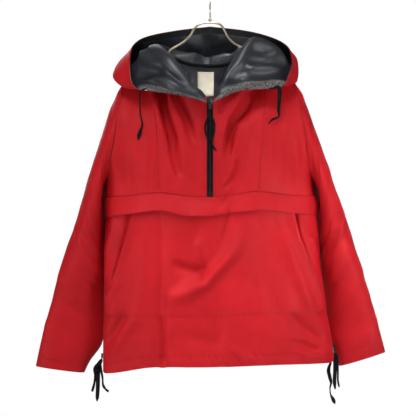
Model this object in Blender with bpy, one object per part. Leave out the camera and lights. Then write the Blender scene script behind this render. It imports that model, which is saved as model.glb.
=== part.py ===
"""Anorak pullover hanging on a wire hanger, at real size.

Frame: +Z up, the front of the garment faces -Y, the wearer's right side is at -X.
The origin is the inner top of the hanger's hook, where a rail carries it.

All the cloth is cut from one net of four-sided faces: front, back, sleeves and hood share
their points along every seam.  A panel is a set of the net's faces, drawn back from its
seams by half a seam gap and given a wall along the net's own normals, so neighbouring
walls meet in a mitre.  What lies on a panel or lines it uses the same faces at another depth.
Sizes are millimetres; MM turns them into metres when a mesh is made.
"""
import math

import bmesh
import bpy
import numpy as np
from mathutils import Vector

MM = 0.001

# Walls and gaps
CLOTH = 1.2            # wall of the shell cloth
LINING = 1.0           # wall of lining, facing and label
SEAM_GAP = 0.3         # between two pieces that meet
LAY_GAP = 0.4          # between a panel and what lies on it

# Driving sizes of the body
UNDERARM = -417.0      # height of the underarm point
HEM_CASING = 21.0      # height of the stitched hem
ZIP_HALF = 7.0         # half width of the zip strip
ARMHOLE_HALF = 75.0    # half depth of the armhole, front to back
ARMHOLE_ROLL = 38.0    # how fast the armhole opens under the shoulder tip
SHOULDER_ROLL = 70.0   # how fast the chest falls away under the shoulder ridge
PLAN_POWER = 2.3       # fullness of the body's plan outline, 2 is an ellipse

# Rows and columns of the net
UPPER_ROWS = 9         # underarm to shoulder or neckline
SLEEVE_ROWS = 16       # armhole to cuff
SLEEVE_BLEND = 0.25    # share of the sleeve over which the armhole's own shape fades
# Rows of the hood between its marks: 0 neck seam, 1 rise, 2 bag, 3 back, 4 rim
HOOD_ROWS = (0, 0.5, 1, 1.35, 1.7, 2, 2.4, 2.75, 3, 3.3)
FACING_WIDTH = 16.0    # band inside the rim
NECK_FRONT_STEPS = 6   # neck column to zip
LINING_ROWS = 5        # rows of the back covered by the neck lining

CORNER_LEAST = 0.15    # keeps the draw at a sharp corner finite
CORNER_TURN = 0.8      # cosine of the turn past which a corner is drawn in further
CORNER_DRAW = 0.25
NORMAL_ROUNDS = 30     # rounds and step of the search for each point's normal
NORMAL_STEP = 0.12

WIRE = 5.0             # hanger wire
HOOK_WIRE = 3.0
HOOK_RADIUS = 18.0     # inside of the hook
FERRULE = 2.6          # ferrule's width over the hook wire's


class Table:
    """Named columns of sizes; each is read along the first by a curve that never overshoots."""

    def __init__(self, columns, *rows):
        self.columns = columns.split()
        self.rows = np.array(sorted(rows), dtype=float)

    def at(self, key, name):
        keys = self.rows[:, 0]
        values = self.rows[:, self.columns.index(name)]
        step = np.diff(keys)
        slope = np.diff(values) / step
        tangent = np.concatenate(([slope[0]], np.zeros(len(keys) - 2), [slope[-1]]))
        for i in range(1, len(keys) - 1):
            if slope[i - 1] * slope[i] > 0:
                tangent[i] = 2 * slope[i - 1] * slope[i] / (slope[i - 1] + slope[i])
        key = np.clip(key, keys[0], keys[-1])
        i = np.clip(np.searchsorted(keys, key) - 1, 0, len(step) - 1)
        t = (key - keys[i]) / step[i]
        return (values[i] * (1 + 2 * t) * (1 - t) ** 2 + values[i + 1] * t * t * (3 - 2 * t)
                + step[i] * t * (1 - t) * (tangent[i] * (1 - t) - tangent[i + 1] * t))


# Columns of the body by height: side edge (armhole above the underarm), pocket opening,
# princess seam and side of the neck, left and right.
SEAMS = Table(
    "height  side_left pocket_left princess_left neck_left neck_right princess_right pocket_right side_right",
    (-120, -200, -165, -127, -112, 109, 127, 162, 195),
    (-186, -200, -165, -125, -109, 106, 126, 162, 195),
    (-247, -209, -165, -123, -106, 104, 124, 166, 205),
    (-311, -217, -165, -120, -104, 102, 119, 172, 216),
    (-372, -229, -165, -117, -102, 100, 113, 178, 225),
    (-417, -239, -166, -116, -101, 98, 111, 184, 237),
    (-449, -241.5, -168, -115, -100, 98, 110, 187, 244),
    (-495, -241.5, -176, -115, -100, 98, 110, 191, 248),
    (-569, -244, -198, -115, -100, 99, 111, 212, 253),
    (-640, -244, -222, -116, -100, 99, 112, 240, 260),
    (-676, -244, -236, -116, -101, 100, 113, 255, 264),
    (-730, -245, -238, -117, -102, 101, 115, 264, 271),
    (-785, -246, -239, -118, -103, 103, 118, 274, 281),
    (-850, -246, -239, -118, -103, 104, 120, 280, 288),
)
# The same columns where the rows' heights are read
ACROSS = dict(side=242.0, pocket=180.0, princess=115.0, neck=100.0, zip=ZIP_HALF)

# Heights of the front's seams and edges, by place across the body
LEVELS = Table(
    "across  hem  pocket_foot  flap_foot  flap_top",
    (-242, -848, -721, -495, -449),
    (-184, -851, -721, -486, -443),
    (-115, -834, -719, -478, -438),
    (-46, -834, -718, -491, -446),
    (0, -833.5, -717, -490, -447),
    (57, -832.5, -715, -482, -442),
    (115, -829.5, -713, -477, -435),
    (172, -827, -711, -484, -442),
    (242, -823.5, -709, -492, -445),
)
LEVEL_STEPS = (("casing", 1), ("pocket_foot", 4), ("flap_foot", 6), ("flap_top", 2), ("underarm", 1))

# Upper edge of front and back, by place across: shoulder seam outside, neckline inside
TOPS = Table(
    "across  front  back",
    (-100, -122, -122),
    (-84.5, -141, -124.5),
    (-69, -166, -130),
    (-53.5, -192, -136),
    (-38, -214, -140),
    (-22.5, -229, -142),
    (-7, -236, -142.5),
    (7, -236, -142.5),
    (22.5, -228, -141.5),
    (38, -212, -138),
    (53.5, -190, -134),
    (69, -164, -129),
    (84.5, -139, -123.5),
    (100, -120, -120),
)
# Height of the shoulder ridge, and of the crown it would make over the neck
RIDGE_ACROSS = (-200, -165, -127, -112, -98, -60, 0, 60, 96, 109, 127, 162, 195)
RIDGE_HEIGHT = (-186, -160.5, -133, -122, -106, -96, -92, -96, -105, -120, -133.5, -159.6, -184)

# Half depth of the body from its side plane to the front and to the back
DEPTHS = Table(
    "height  front  back",
    (-100, 94, 74),
    (-300, 95, 76),
    (-450, 93, 78),
    (-600, 86, 74),
    (-750, 76, 66),
    (-850, 70, 62),
)

# Largest folds: a line across the panel, its half width, and its height (a trough is negative)
FRONT_FOLDS = (
    dict(start=(-115, -217), end=(-85, -316), width=10, height=-5),
    dict(start=(-85, -316), end=(-74, -403), width=10, height=-5),
    dict(start=(-74, -228), end=(-41, -316), width=9, height=-4),
    dict(start=(80, -220), end=(40, -285), width=10, height=-5),
    dict(start=(40, -285), end=(37, -345), width=9, height=-4),
    dict(start=(62, -373), end=(34, -415), width=8, height=-3),
    dict(start=(-113, -684), end=(-110, -822), width=12, height=-6),
    dict(start=(150, -700), end=(160, -822), width=16, height=-4),
    dict(start=(30, -640), end=(70, -700), width=18, height=4),
)
BACK_FOLDS = (
    dict(start=(-95, -330), end=(-105, -800), width=24, height=-7),
    dict(start=(20, -400), end=(35, -810), width=28, height=5),
    dict(start=(110, -350), end=(125, -815), width=24, height=-7),
    dict(start=(-175, -480), end=(-180, -815), width=18, height=5),
)

# Sleeves: outer and inner edge as seen from the front, their depth places, half depth
SLEEVES = {
    "left": Table(
        "share  outer_x outer_z inner_x inner_z outer_y inner_y half_depth",
        (0.00, -200, -186, -239, -417, 0, 0, 75),
        (0.06, -218, -216, -243.5, -426, 0, 3, 77),
        (0.12, -233, -257, -247, -444, 0, 9, 80),
        (0.20, -250, -312, -246.5, -472, 0, 22, 84),
        (0.35, -283, -413, -244, -530, 0, 38, 84),
        (0.50, -311.5, -515, -242, -600, 0, 44, 78),
        (0.62, -338, -588, -239, -655, 2, 48, 66),
        (0.75, -359, -661, -238, -715, 6, 50, 48),
        (0.88, -381, -745, -250, -785, 12, 36, 32),
        (0.95, -394, -800, -276, -825, 15, 27, 29),
        (1.00, -402, -837, -290, -852.5, 17, 23, 28),
    ),
    "right": Table(
        "share  outer_x outer_z inner_x inner_z outer_y inner_y half_depth",
        (0.00, 195, -184, 237, -417, 0, 0, 75),
        (0.06, 215, -216, 243.5, -426, 0, 3, 77),
        (0.12, 230, -257, 249, -444, 0, 9, 80),
        (0.20, 249, -312, 249.5, -470, 0, 20, 84),
        (0.35, 282.5, -410, 252.7, -530, 0, 38, 84),
        (0.50, 313.5, -497, 256.5, -600, 0, 44, 78),
        (0.62, 341, -585, 261, -655, 2, 48, 66),
        (0.75, 364.5, -660, 266, -712, 6, 50, 48),
        (0.88, 384.5, -728, 276, -770, 12, 36, 32),
        (0.95, 396.5, -775, 291, -811, 15, 27, 29),
        (1.00, 405, -804, 299, -837, 17, 23, 28),
    ),
}
# Sleeve folds: place down the arm and round it (degrees from the outer edge, front first)
SLEEVE_FOLDS = {
    "left": (
        dict(share=0.50, around=80, length=50, width=0.035, height=-7),
        dict(share=0.58, around=130, length=60, width=0.03, height=5),
        dict(share=0.86, around=70, length=55, width=0.03, height=-4),
    ),
    "right": (
        dict(share=0.46, around=95, length=55, width=0.03, height=-7),
        dict(share=0.56, around=60, length=50, width=0.035, height=5),
        dict(share=0.88, around=80, length=55, width=0.03, height=-4),
    ),
}

# Hood: places a thread passes on its way from the neck seam over the hood to its rim,
# for steps round the neck from the zip (0) by the side (6) to the centre of the back (13)
HOOD_COLUMNS = ("step  rise_x rise_y rise_z  bag_x bag_y bag_z"
                "  back_x back_y back_z  rim_x rim_y rim_z")
HOODS = {
    "left": Table(
        HOOD_COLUMNS,
        (0, -8, -95, -225, -10, -102, -221, -11, -107, -226, -9, -106, -233),
        (2, -50, -93, -199, -64, -101, -198, -76, -106, -206, -75, -104, -217),
        (4, -84, -76, -150, -112, -76, -164, -140, -75, -194, -138, -92, -209),
        (5, -102, -44, -122, -142, -42, -144, -183, -50, -198, -165, -82, -204),
        (6, -122, -8, -98, -160, -8, -130, -211, -24, -186, -181, -70, -179),
        (7, -112, 14, -98, -162, 25, -132, -224, 8, -166, -184, -46, -140),
        (8, -96, 36, -104, -142, 78, -170, -208, 58, -138, -181, -6, -105),
        (9, -78, 47, -108, -106, 98, -200, -172, 110, -140, -158, 44, -77.5),
        (11, -34, 55, -121, -52, 96, -215, -92, 150, -170, -84, 91, -56.5),
        (13, 0, 55, -126, 0, 94, -219, 0, 158, -174, 0, 108, -45),
    ),
    "right": Table(
        HOOD_COLUMNS,
        (0, 8, -95, -225, 10, -102, -221, 11, -107, -226, 9, -106, -232),
        (2, 28, -90, -196, 56, -94, -192, 74, -100, -200, 75, -104, -208),
        (4, 55, -68, -150, 100, -62, -166, 136, -72, -190, 140, -90, -203),
        (5, 72, -46, -119, 122, -34, -140, 180, -52, -188, 166, -80, -197),
        (6, 97, -22, -88, 148, -14, -112, 198, -22, -182, 180, -68, -170),
        (7, 97, 10, -94, 158, 16, -124, 203, 6, -156, 188, -44, -140),
        (8, 90, 38, -104, 134, 78, -168, 200, 54, -132, 183, -6, -106.5),
        (9, 74, 47, -108, 102, 98, -198, 168, 106, -138, 160, 44, -82),
        (11, 32, 55, -121, 50, 96, -215, 90, 150, -170, 84, 91, -56),
        (13, 0, 55, -126, 0, 94, -219, 0, 158, -174, 0, 108, -45),
    ),
}


# ---------------------------------------------------------------- form of the body

def middle_and_half(z):
    left = SEAMS.at(z, "side_left")
    right = SEAMS.at(z, "side_right")
    return (left + right) / 2, (right - left) / 2


def armhole_depth(z, across, power=0.5):
    """Half depth of the armhole at a height: an ellipse drawn in to a roof at the shoulder.

    A power above a half makes it open more slowly at its ends.
    """
    top = RIDGE_HEIGHT[0] if across < 0 else RIDGE_HEIGHT[-1]
    if z >= top:
        return 0.0
    middle = (top + UNDERARM) / 2
    along = (z - middle) / (top - middle)
    roof = 1 - math.exp(-(top - z) / ARMHOLE_ROLL)
    return ARMHOLE_HALF * max(0.0, 1 - along * along) ** power * roof


def fold_height(folds, x, z):
    total = 0.0
    for fold in folds:
        (x0, z0), (x1, z1) = fold["start"], fold["end"]
        dx, dz = x1 - x0, z1 - z0
        along = ((x - x0) * dx + (z - z0) * dz) / (dx * dx + dz * dz)
        along = min(1.0, max(0.0, along))
        away = math.hypot(x - x0 - along * dx, z - z0 - along * dz)
        total += fold["height"] * math.exp(-(away / fold["width"]) ** 2)
    return total


def body_depth(x, z, face):
    """Place of the outer face front (negative) or back at a point seen from the front."""
    middle, half = middle_and_half(z)
    share = min(1.0, abs((x - middle) / half))
    crown = (1 - share ** PLAN_POWER) ** (1 / PLAN_POWER)
    below = max(0.0, np.interp(x, RIDGE_ACROSS, RIDGE_HEIGHT) - z)
    roof = 1 - math.exp(-below / SHOULDER_ROLL)
    edge = (1 - crown) ** 4
    depth = DEPTHS.at(z, face) * roof * crown + armhole_depth(z, x) * edge
    depth += armhole_depth(z, x, 1.1) * (1 - crown - edge)
    folds = FRONT_FOLDS if face == "front" else BACK_FOLDS
    depth += fold_height(folds, x, z) * crown * roof
    return -depth if face == "front" else depth


def body_columns():
    """Places across the body where the net has a column, at the rows' reading height."""
    half = []
    for i in range(3):
        half.append(ACROSS["side"] + (ACROSS["pocket"] - ACROSS["side"]) * (0, 0.12, 0.45)[i])
    for i in range(3):
        half.append(ACROSS["pocket"] + (ACROSS["princess"] - ACROSS["pocket"]) * (i / 3) ** 1.3)
    half.append(ACROSS["princess"])
    for i in range(NECK_FRONT_STEPS + 1):
        half.append(ACROSS["neck"] + (ACROSS["zip"] - ACROSS["neck"]) * i / NECK_FRONT_STEPS)
    return [-across for across in half] + [0.0] + half[::-1]


def column_place(across, z):
    """True place of a column at a height."""
    side = "left" if across < 0 else "right"
    sign = -1 if across < 0 else 1
    marks = [sign * ACROSS["zip"], SEAMS.at(z, "neck_" + side), SEAMS.at(z, "princess_" + side),
             SEAMS.at(z, "pocket_" + side), SEAMS.at(z, "side_" + side)]
    reading = [ACROSS["zip"], ACROSS["neck"], ACROSS["princess"], ACROSS["pocket"], ACROSS["side"]]
    if abs(across) <= ACROSS["zip"]:
        return across
    return float(np.interp(abs(across), reading, marks))


def top_height(across, face):
    if abs(across) < ACROSS["neck"]:
        return TOPS.at(across, face)
    side = "left" if across < 0 else "right"
    tip, shoulder = (RIDGE_HEIGHT[0], -160.5) if across < 0 else (RIDGE_HEIGHT[-1], -159.6)
    seam = -133.0 if across < 0 else -133.5
    neck = float(TOPS.at(ACROSS["neck"] * (-1 if side == "left" else 1), face))
    reading = [ACROSS["neck"], ACROSS["princess"], ACROSS["pocket"], ACROSS["side"]]
    return float(np.interp(abs(across), reading, [neck, seam, shoulder, tip]))


def row_heights(across, face):
    """Heights of the net's points in one column, from the hem up."""
    hem = LEVELS.at(across, "hem")
    level = {"casing": hem + HEM_CASING, "underarm": UNDERARM}
    heights = [hem]
    for name, steps in LEVEL_STEPS:
        goal = level[name] if name in level else LEVELS.at(across, name)
        start = heights[-1]
        for i in range(1, steps + 1):
            heights.append(start + (goal - start) * i / steps)
    top = top_height(across, face)
    for i in range(1, UPPER_ROWS + 1):
        share = (1 - math.cos(math.pi * i / UPPER_ROWS)) / 2
        heights.append(UNDERARM + (top - UNDERARM) * share)
    return heights


def body_points(face):
    """Rows of points, from the hem to the shoulder and neckline."""
    columns = []
    for across in body_columns():
        heights = row_heights(across, face)
        column = []
        for row, z in enumerate(heights):
            x = column_place(across, z)
            on_ridge = row == len(heights) - 1 and abs(across) >= ACROSS["neck"]
            y = 0.0 if on_ridge else body_depth(x, z, face)
            column.append((x, y, float(z)))
        columns.append(column)
    return [list(row) for row in zip(*columns)]


# ---------------------------------------------------------------- form of sleeves and hood

def sleeve_points(side, front, back):
    """Rings of points from the armhole to the cuff, each from the outer edge round the front."""
    edge = 0 if side == "left" else -1
    first = len(front) - 1 - UPPER_ROWS
    armhole = [front[row][edge] for row in range(len(front) - 1, first - 1, -1)]
    armhole += [back[row][edge] for row in range(first + 1, len(back) - 1)]
    table = SLEEVES[side]
    count = len(armhole)

    def ring(share):
        points = []
        for k in range(count):
            turn = 2 * math.pi * k / count
            outer = np.array([table.at(share, "outer_" + axis) for axis in "xyz"])
            inner = np.array([table.at(share, "inner_" + axis) for axis in "xyz"])
            lift = 0.0
            for fold in SLEEVE_FOLDS[side]:
                off = (math.degrees(turn) - fold["around"] + 180) % 360 - 180
                lift += fold["height"] * math.exp(
                    -(off / fold["length"]) ** 2 - ((share - fold["share"]) / fold["width"]) ** 2)
            centre = (outer + inner) / 2
            point = centre + (outer - inner) / 2 * math.cos(turn)
            point[1] -= (table.at(share, "half_depth") + lift) * math.sin(turn)
            points.append(point)
        return points

    start = ring(0.0)
    rings = []
    for i in range(SLEEVE_ROWS + 1):
        share = i / SLEEVE_ROWS
        fade = max(0.0, 1 - share / SLEEVE_BLEND) ** 2
        rings.append([tuple(point + (np.array(own) - plain) * fade)
                      for point, own, plain in zip(ring(share), armhole, start)])
    rings[0] = armhole
    return rings


def neck_line(side, front, back):
    """Points of the neck seam from the zip round the side to the centre of the back."""
    columns = body_columns()
    centre = len(columns) // 2
    neck = centre - 1 - NECK_FRONT_STEPS
    if side == "left":
        ahead = [front[-1][j] for j in range(centre - 1, neck - 1, -1)]
        behind = [back[-1][j] for j in range(neck + 1, centre + 1)]
    else:
        far = len(columns) - 1 - neck
        ahead = [front[-1][j] for j in range(centre + 1, far + 1)]
        behind = [back[-1][j] for j in range(far - 1, centre - 1, -1)]
    return ahead + behind


def thread(points, mark):
    """A place on the smooth thread through a few points; mark 1.5 is between the second two."""
    points = [np.array(point, dtype=float) for point in points]
    spans = [float(np.linalg.norm(b - a)) for a, b in zip(points, points[1:])]
    i = min(len(points) - 2, int(mark))

    def tangent(k):
        if k == 0:
            return (points[1] - points[0]) / spans[0]
        if k == len(points) - 1:
            return (points[-1] - points[-2]) / spans[-1]
        return (points[k + 1] - points[k - 1]) / (spans[k] + spans[k - 1])

    t = mark - i
    a, b = points[i], points[i + 1]
    return (a * (1 + 2 * t) * (1 - t) ** 2 + b * t * t * (3 - 2 * t)
            + spans[i] * t * (1 - t) * (tangent(i) * (1 - t) - tangent(i + 1) * t))


def hood_points(side, neck):
    """Rows of points from the neck seam to the rim, each from the zip to the centre back."""
    table = HOODS[side]
    threads = []
    for step, start in enumerate(neck):
        places = [start]
        for name in ("rise", "bag", "back", "rim"):
            places.append([table.at(step, f"{name}_{axis}") for axis in "xyz"])
        last = np.linalg.norm(np.subtract(places[-1], places[-2]))
        marks = HOOD_ROWS + (4 - min(0.35, FACING_WIDTH / last), 4)
        threads.append([tuple(thread(places, mark)) for mark in marks])
        threads[-1][0] = start
    return [list(row) for row in zip(*threads)]


# ---------------------------------------------------------------- the net and its panels

class Net:
    """The garment's faces; points closer than a thousandth of a millimetre are one."""

    def __init__(self):
        self.points = []
        self.numbers = {}
        self.faces = []
        self.normals = []

    def number(self, place):
        key = tuple(round(float(value), 3) + 0.0 for value in place)
        if key not in self.numbers:
            self.numbers[key] = len(self.points)
            self.points.append(Vector(key))
        return self.numbers[key]

    def add_grid(self, rows, flip=False):
        """Add a grid's faces and return them by their row and column."""
        cells = {}
        for i in range(len(rows) - 1):
            for j in range(len(rows[i]) - 1):
                corners = [rows[i][j], rows[i][j + 1], rows[i + 1][j + 1], rows[i + 1][j]]
                if flip:
                    corners.reverse()
                cells[i, j] = tuple(self.number(corner) for corner in corners)
        self.faces += cells.values()
        return cells

    def smooth(self):
        """Give each point a normal that leans as little as it can from the faces round it."""
        around = [[] for _ in self.points]
        for face in self.faces:
            for half in self.split(face):
                a, b, c = (self.points[k] for k in half)
                normal = (b - a).cross(c - a).normalized()
                for k in half:
                    around[k].append(normal)
        for normals in around:
            middle = sum(normals, Vector()).normalized()
            for _ in range(NORMAL_ROUNDS):
                farthest = min(normals, key=middle.dot)
                middle = (middle + farthest * NORMAL_STEP).normalized()
            self.normals.append(middle)

    def split(self, face):
        """The two triangles of a face, the same at every depth."""
        a, b, c, d = face
        across = (self.points[a] - self.points[c]).length
        along = (self.points[b] - self.points[d]).length
        return ((a, b, c), (a, c, d)) if across < along else ((a, b, d), (b, c, d))

    def spot(self, rows, row, column, depth):
        """Place and normal at a fraction of a row and column, at a depth under the face."""
        i = min(int(row), len(rows) - 2)
        j = min(int(column), len(rows[0]) - 2)
        down, across = row - i, column - j
        place, normal = Vector(), Vector()
        for di, wi in ((0, 1 - down), (1, down)):
            for dj, wj in ((0, 1 - across), (1, across)):
                k = self.number(rows[i + di][j + dj])
                place += self.points[k] * wi * wj
                normal += self.normals[k] * wi * wj
        normal.normalize()
        return place - normal * depth, normal

    def seat(self, face, half, depth):
        """Middle and normal of one half of a face at a depth, where a flat fitting can sit."""
        a, b, c = (self.points[k] - self.normals[k] * depth for k in self.split(face)[half])
        sides = (b - c).length, (c - a).length, (a - b).length
        middle = (a * sides[0] + b * sides[1] + c * sides[2]) / sum(sides)
        return middle, (b - a).cross(c - a).normalized()

    def wall(self, faces, near, far, lift):
        """Corner places of a wall between two depths, held half a gap off each seam's mitre.

        lift raises single points further out, by their numbers.
        """
        uses = {}
        for face in faces:
            for a, b in zip(face, face[1:] + face[:1]):
                uses[(a, b)] = face
        pulls = {}
        borders = []
        for (a, b), face in uses.items():
            if (b, a) in uses:
                continue
            borders.append((a, b))
            middle = sum((self.points[k] for k in face), Vector()) / 4
            edge = (self.points[b] - self.points[a]).normalized()
            inward = middle - (self.points[a] + self.points[b]) / 2
            for k in (a, b):
                across = self.normals[k].cross(edge).normalized()
                pulls.setdefault(k, []).append(across if across.dot(inward) > 0 else -across)
        shift = {}
        for k, directions in pulls.items():
            total = sum(directions, Vector())
            turn = directions[0].dot(directions[-1])
            if len(directions) > 1:
                total /= max(CORNER_LEAST, 1 + turn)
            shift[k] = total * SEAM_GAP / 2
            if turn < CORNER_TURN:
                shift[k] += total.normalized() * CORNER_DRAW
        outer, inner = {}, {}
        for face in faces:
            for k in face:
                place = self.points[k] + shift.get(k, Vector())
                outer[k] = place - self.normals[k] * (near - lift.get(k, 0))
                inner[k] = place - self.normals[k] * (far - lift.get(k, 0))
        return outer, inner, borders


def material(name, colour, roughness, metallic=0.0):
    made = bpy.data.materials.new(name)
    made.use_nodes = True
    shader = made.node_tree.nodes["Principled BSDF"]
    shader.inputs["Base Color"].default_value = (*colour, 1.0)
    shader.inputs["Roughness"].default_value = roughness
    shader.inputs["Metallic"].default_value = metallic
    return made


def finish(name, mesh, colour, roughness, metallic=0.0):
    made = bpy.data.objects.new(name, mesh)
    made.data.materials.append(material(name + "_finish", colour, roughness, metallic))
    bpy.context.scene.collection.objects.link(made)
    return made


def cut_panel(name, net, faces, near, far, colour, roughness, lift=None):
    """One piece of cloth as a closed solid between two depths under the net."""
    outer, inner, borders = net.wall(faces, near, far, lift or {})
    mesh = bmesh.new()
    tops = {k: mesh.verts.new(place * MM) for k, place in outer.items()}
    lows = {k: mesh.verts.new(place * MM) for k, place in inner.items()}
    for face in faces:
        for half in net.split(face):
            mesh.faces.new([tops[k] for k in half])
            mesh.faces.new([lows[k] for k in reversed(half)])
    for a, b in borders:
        if a < b:
            mesh.faces.new([tops[b], tops[a], lows[b]])
            mesh.faces.new([tops[a], lows[a], lows[b]])
        else:
            mesh.faces.new([tops[b], tops[a], lows[a]])
            mesh.faces.new([tops[b], lows[a], lows[b]])
    data = bpy.data.meshes.new(name)
    mesh.to_mesh(data)
    mesh.free()
    data.shade_smooth()
    return finish(name, data, colour, roughness)


# ---------------------------------------------------------------- cords, wire and small parts

def smooth_route(places, count):
    """Points evenly counted along the smooth curve through a route's places."""
    last = len(places) - 1
    return [thread(places, last * i / (count - 1)) for i in range(count)]


def tube(name, points, diameter, colour, roughness, metallic=0.0, widths=()):
    """A round cord or wire through close points; widths thicken it at its first points."""
    curve = bpy.data.curves.new(name, "CURVE")
    curve.dimensions = "3D"
    curve.bevel_depth = diameter / 2 * MM
    curve.bevel_resolution = 2
    curve.use_fill_caps = True
    line = curve.splines.new("POLY")
    line.points.add(len(points) - 1)
    for k, place in enumerate(points):
        line.points[k].co = (*(Vector(place) * MM), 1.0)
    for k, width in enumerate(widths):
        line.points[k].radius = width
    return finish(name, curve, colour, roughness, metallic)


def turned(name, place, axis, outline, sides, colour, roughness, metallic):
    """A ring or disc: (radius, height) pairs turned round an axis through a place."""
    mesh = bmesh.new()
    turn = Vector((0, 0, 1)).rotation_difference(Vector(axis)).to_matrix().to_4x4()
    rings = []
    for k in range(sides):
        angle = 2 * math.pi * k / sides
        ring = []
        for radius, height in outline:
            spot = Vector((radius * math.cos(angle), radius * math.sin(angle), height))
            ring.append(mesh.verts.new((turn @ spot + Vector(place)) * MM))
        rings.append(ring)
    for ring, following in zip(rings, rings[1:] + rings[:1]):
        for k in range(len(outline)):
            after = (k + 1) % len(outline)
            mesh.faces.new([ring[k], following[k], following[after], ring[after]])
    bmesh.ops.recalc_face_normals(mesh, faces=mesh.faces[:])
    data = bpy.data.meshes.new(name)
    mesh.to_mesh(data)
    mesh.free()
    return finish(name, data, colour, roughness, metallic)


def plate(name, place, size, out, taper, colour, roughness, metallic):
    """A small rounded plate: size is width, thickness, height; out is the way it faces."""
    mesh = bmesh.new()
    bmesh.ops.create_cube(mesh, size=1.0)
    for corner in mesh.verts:
        narrow = 1 - taper * (0.5 - corner.co.z)
        corner.co = Vector((corner.co.x * size[0] * narrow, corner.co.y * size[1],
                            corner.co.z * size[2]))
    bmesh.ops.bevel(mesh, geom=mesh.edges[:], offset=0.22 * min(size), segments=2,
                    affect="EDGES", profile=0.5)
    turn = Vector((0, -1, 0)).rotation_difference(Vector(out)).to_matrix().to_4x4()
    for corner in mesh.verts:
        corner.co = (turn @ corner.co + Vector(place)) * MM
    data = bpy.data.meshes.new(name)
    mesh.to_mesh(data)
    mesh.free()
    return finish(name, data, colour, roughness, metallic)


def lay_patch(name, net, rows, row_marks, column_marks, near, far, colour, roughness):
    """A small piece lying on a panel between marks given as fractions of rows and columns."""
    mesh = bmesh.new()
    sheets = []
    for depth in (near, far):
        sheets.append([[mesh.verts.new(net.spot(rows, row, column, depth)[0] * MM)
                        for column in column_marks] for row in row_marks])
    outer, inner = sheets
    last_row, last_column = len(row_marks) - 1, len(column_marks) - 1
    for i in range(last_row):
        for j in range(last_column):
            square = ((i, j), (i, j + 1), (i + 1, j + 1), (i + 1, j))
            mesh.faces.new([outer[a][b] for a, b in square])
            mesh.faces.new([inner[a][b] for a, b in reversed(square)])
    rim = [(0, j) for j in range(last_column)] + [(i, last_column) for i in range(last_row)]
    rim += [(last_row, j) for j in range(last_column, 0, -1)] + [(i, 0) for i in range(last_row, 0, -1)]
    for (a, b), (c, d) in zip(rim, rim[1:] + rim[:1]):
        mesh.faces.new([outer[c][d], outer[a][b], inner[a][b], inner[c][d]])
    bmesh.ops.triangulate(mesh, faces=mesh.faces[:])
    bmesh.ops.recalc_face_normals(mesh, faces=mesh.faces[:])
    data = bpy.data.meshes.new(name)
    mesh.to_mesh(data)
    mesh.free()
    return finish(name, data, colour, roughness)


# ---------------------------------------------------------------- the object's pieces

RED = (0.62, 0.012, 0.022)
DARK = (0.030, 0.032, 0.042)
BLACK = (0.012, 0.012, 0.013)
CREAM = (0.72, 0.66, 0.52)
STEEL = (0.55, 0.55, 0.56)
BRASS = (0.62, 0.52, 0.38)
CLOTH_ROUGHNESS = 0.55
SATIN_ROUGHNESS = 0.38

UNDER_CLOTH = CLOTH + SEAM_GAP
UNDER_LINING = UNDER_CLOTH + LINING

HOOD_CORD = 3.0
HEM_CORD = 3.6
PULL_CORD = 3.2

# Routes of the cords, from where each leaves the garment to its free end
CORDS = {
    "zip_pull_cord": (PULL_CORD, 34, (
        (0, -87.9, -249.8), (-2, -90.3, -260), (-6.5, -90.9, -272), (-11, -91.5, -288),
        (-8.5, -92.6, -306), (0, -93.6, -318), (7.5, -92.6, -306), (10, -91.5, -286),
        (6, -91.3, -272), (3, -90.9, -266.5))),
    "zip_pull_tail": (PULL_CORD, 9, (
        (0.2, -93.7, -320), (1.2, -93.9, -323.5), (5.5, -94.2, -331), (14, -94.4, -343))),
    "hood_cord_left": (HOOD_CORD, 22, (
        (-144.2, -91.9, -202.4), (-151.5, -91.3, -204.6), (-157.5, -90.5, -211),
        (-158.5, -89, -236), (-157.3, -87, -260.6), (-153, -86, -282), (-156, -85, -293),
        (-159.5, -84.4, -304), (-163, -84.2, -318))),
    "hood_cord_right": (HOOD_CORD, 20, (
        (134, -95.1, -202.5), (142, -93.7, -201.5), (150.5, -91.2, -198.7), (157.3, -89.5, -203.5),
        (156.8, -88, -228), (155, -86, -251), (156, -85, -263), (150, -84.6, -268.5),
        (142.6, -84.4, -271), (132, -84.6, -282))),
    "hem_cord_left_outer": (HEM_CORD, 18, (
        (-249.3, -2.4, -818.5), (-250.2, -3, -822), (-255, -4, -830), (-265, -5, -842),
        (-264, -5, -856), (-266, -4, -875), (-271, -4, -894))),
    "hem_cord_left_middle": (HEM_CORD, 14, (
        (-256.7, -5.8, -836.3), (-257.5, -6, -852), (-257.5, -6, -870), (-258, -6, -890),
        (-259.5, -6, -916))),
    "hem_cord_left_inner": (HEM_CORD, 14, (
        (-251.4, -5.3, -830.9), (-249.8, -6, -846), (-247, -6, -862), (-245.5, -6, -879),
        (-240, -6, -888), (-233, -6, -894))),
    "hem_cord_right_outer": (HEM_CORD, 18, (
        (287.6, -1.6, -803.4), (288.6, -2, -807), (291.5, -4, -815), (293.5, -5, -828),
        (294, -5, -850), (294, -4, -868), (297, -4, -884))),
    "hem_cord_right_inner": (HEM_CORD, 18, (
        (285.3, -5.2, -803.4), (285.8, -6.2, -807), (286.8, -7, -816), (287.5, -7, -828),
        (287, -7, -850), (286, -7, -870), (287.5, -7, -888))),
    "hem_cord_right_lower": (HEM_CORD, 18, (
        (276.8, -18.2, -826.0), (272, -13, -843), (275, -10, -860), (278, -9, -873),
        (275.5, -9, -886), (277, -9, -900), (282.5, -9, -911), (287, -9, -922))),
}

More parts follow.
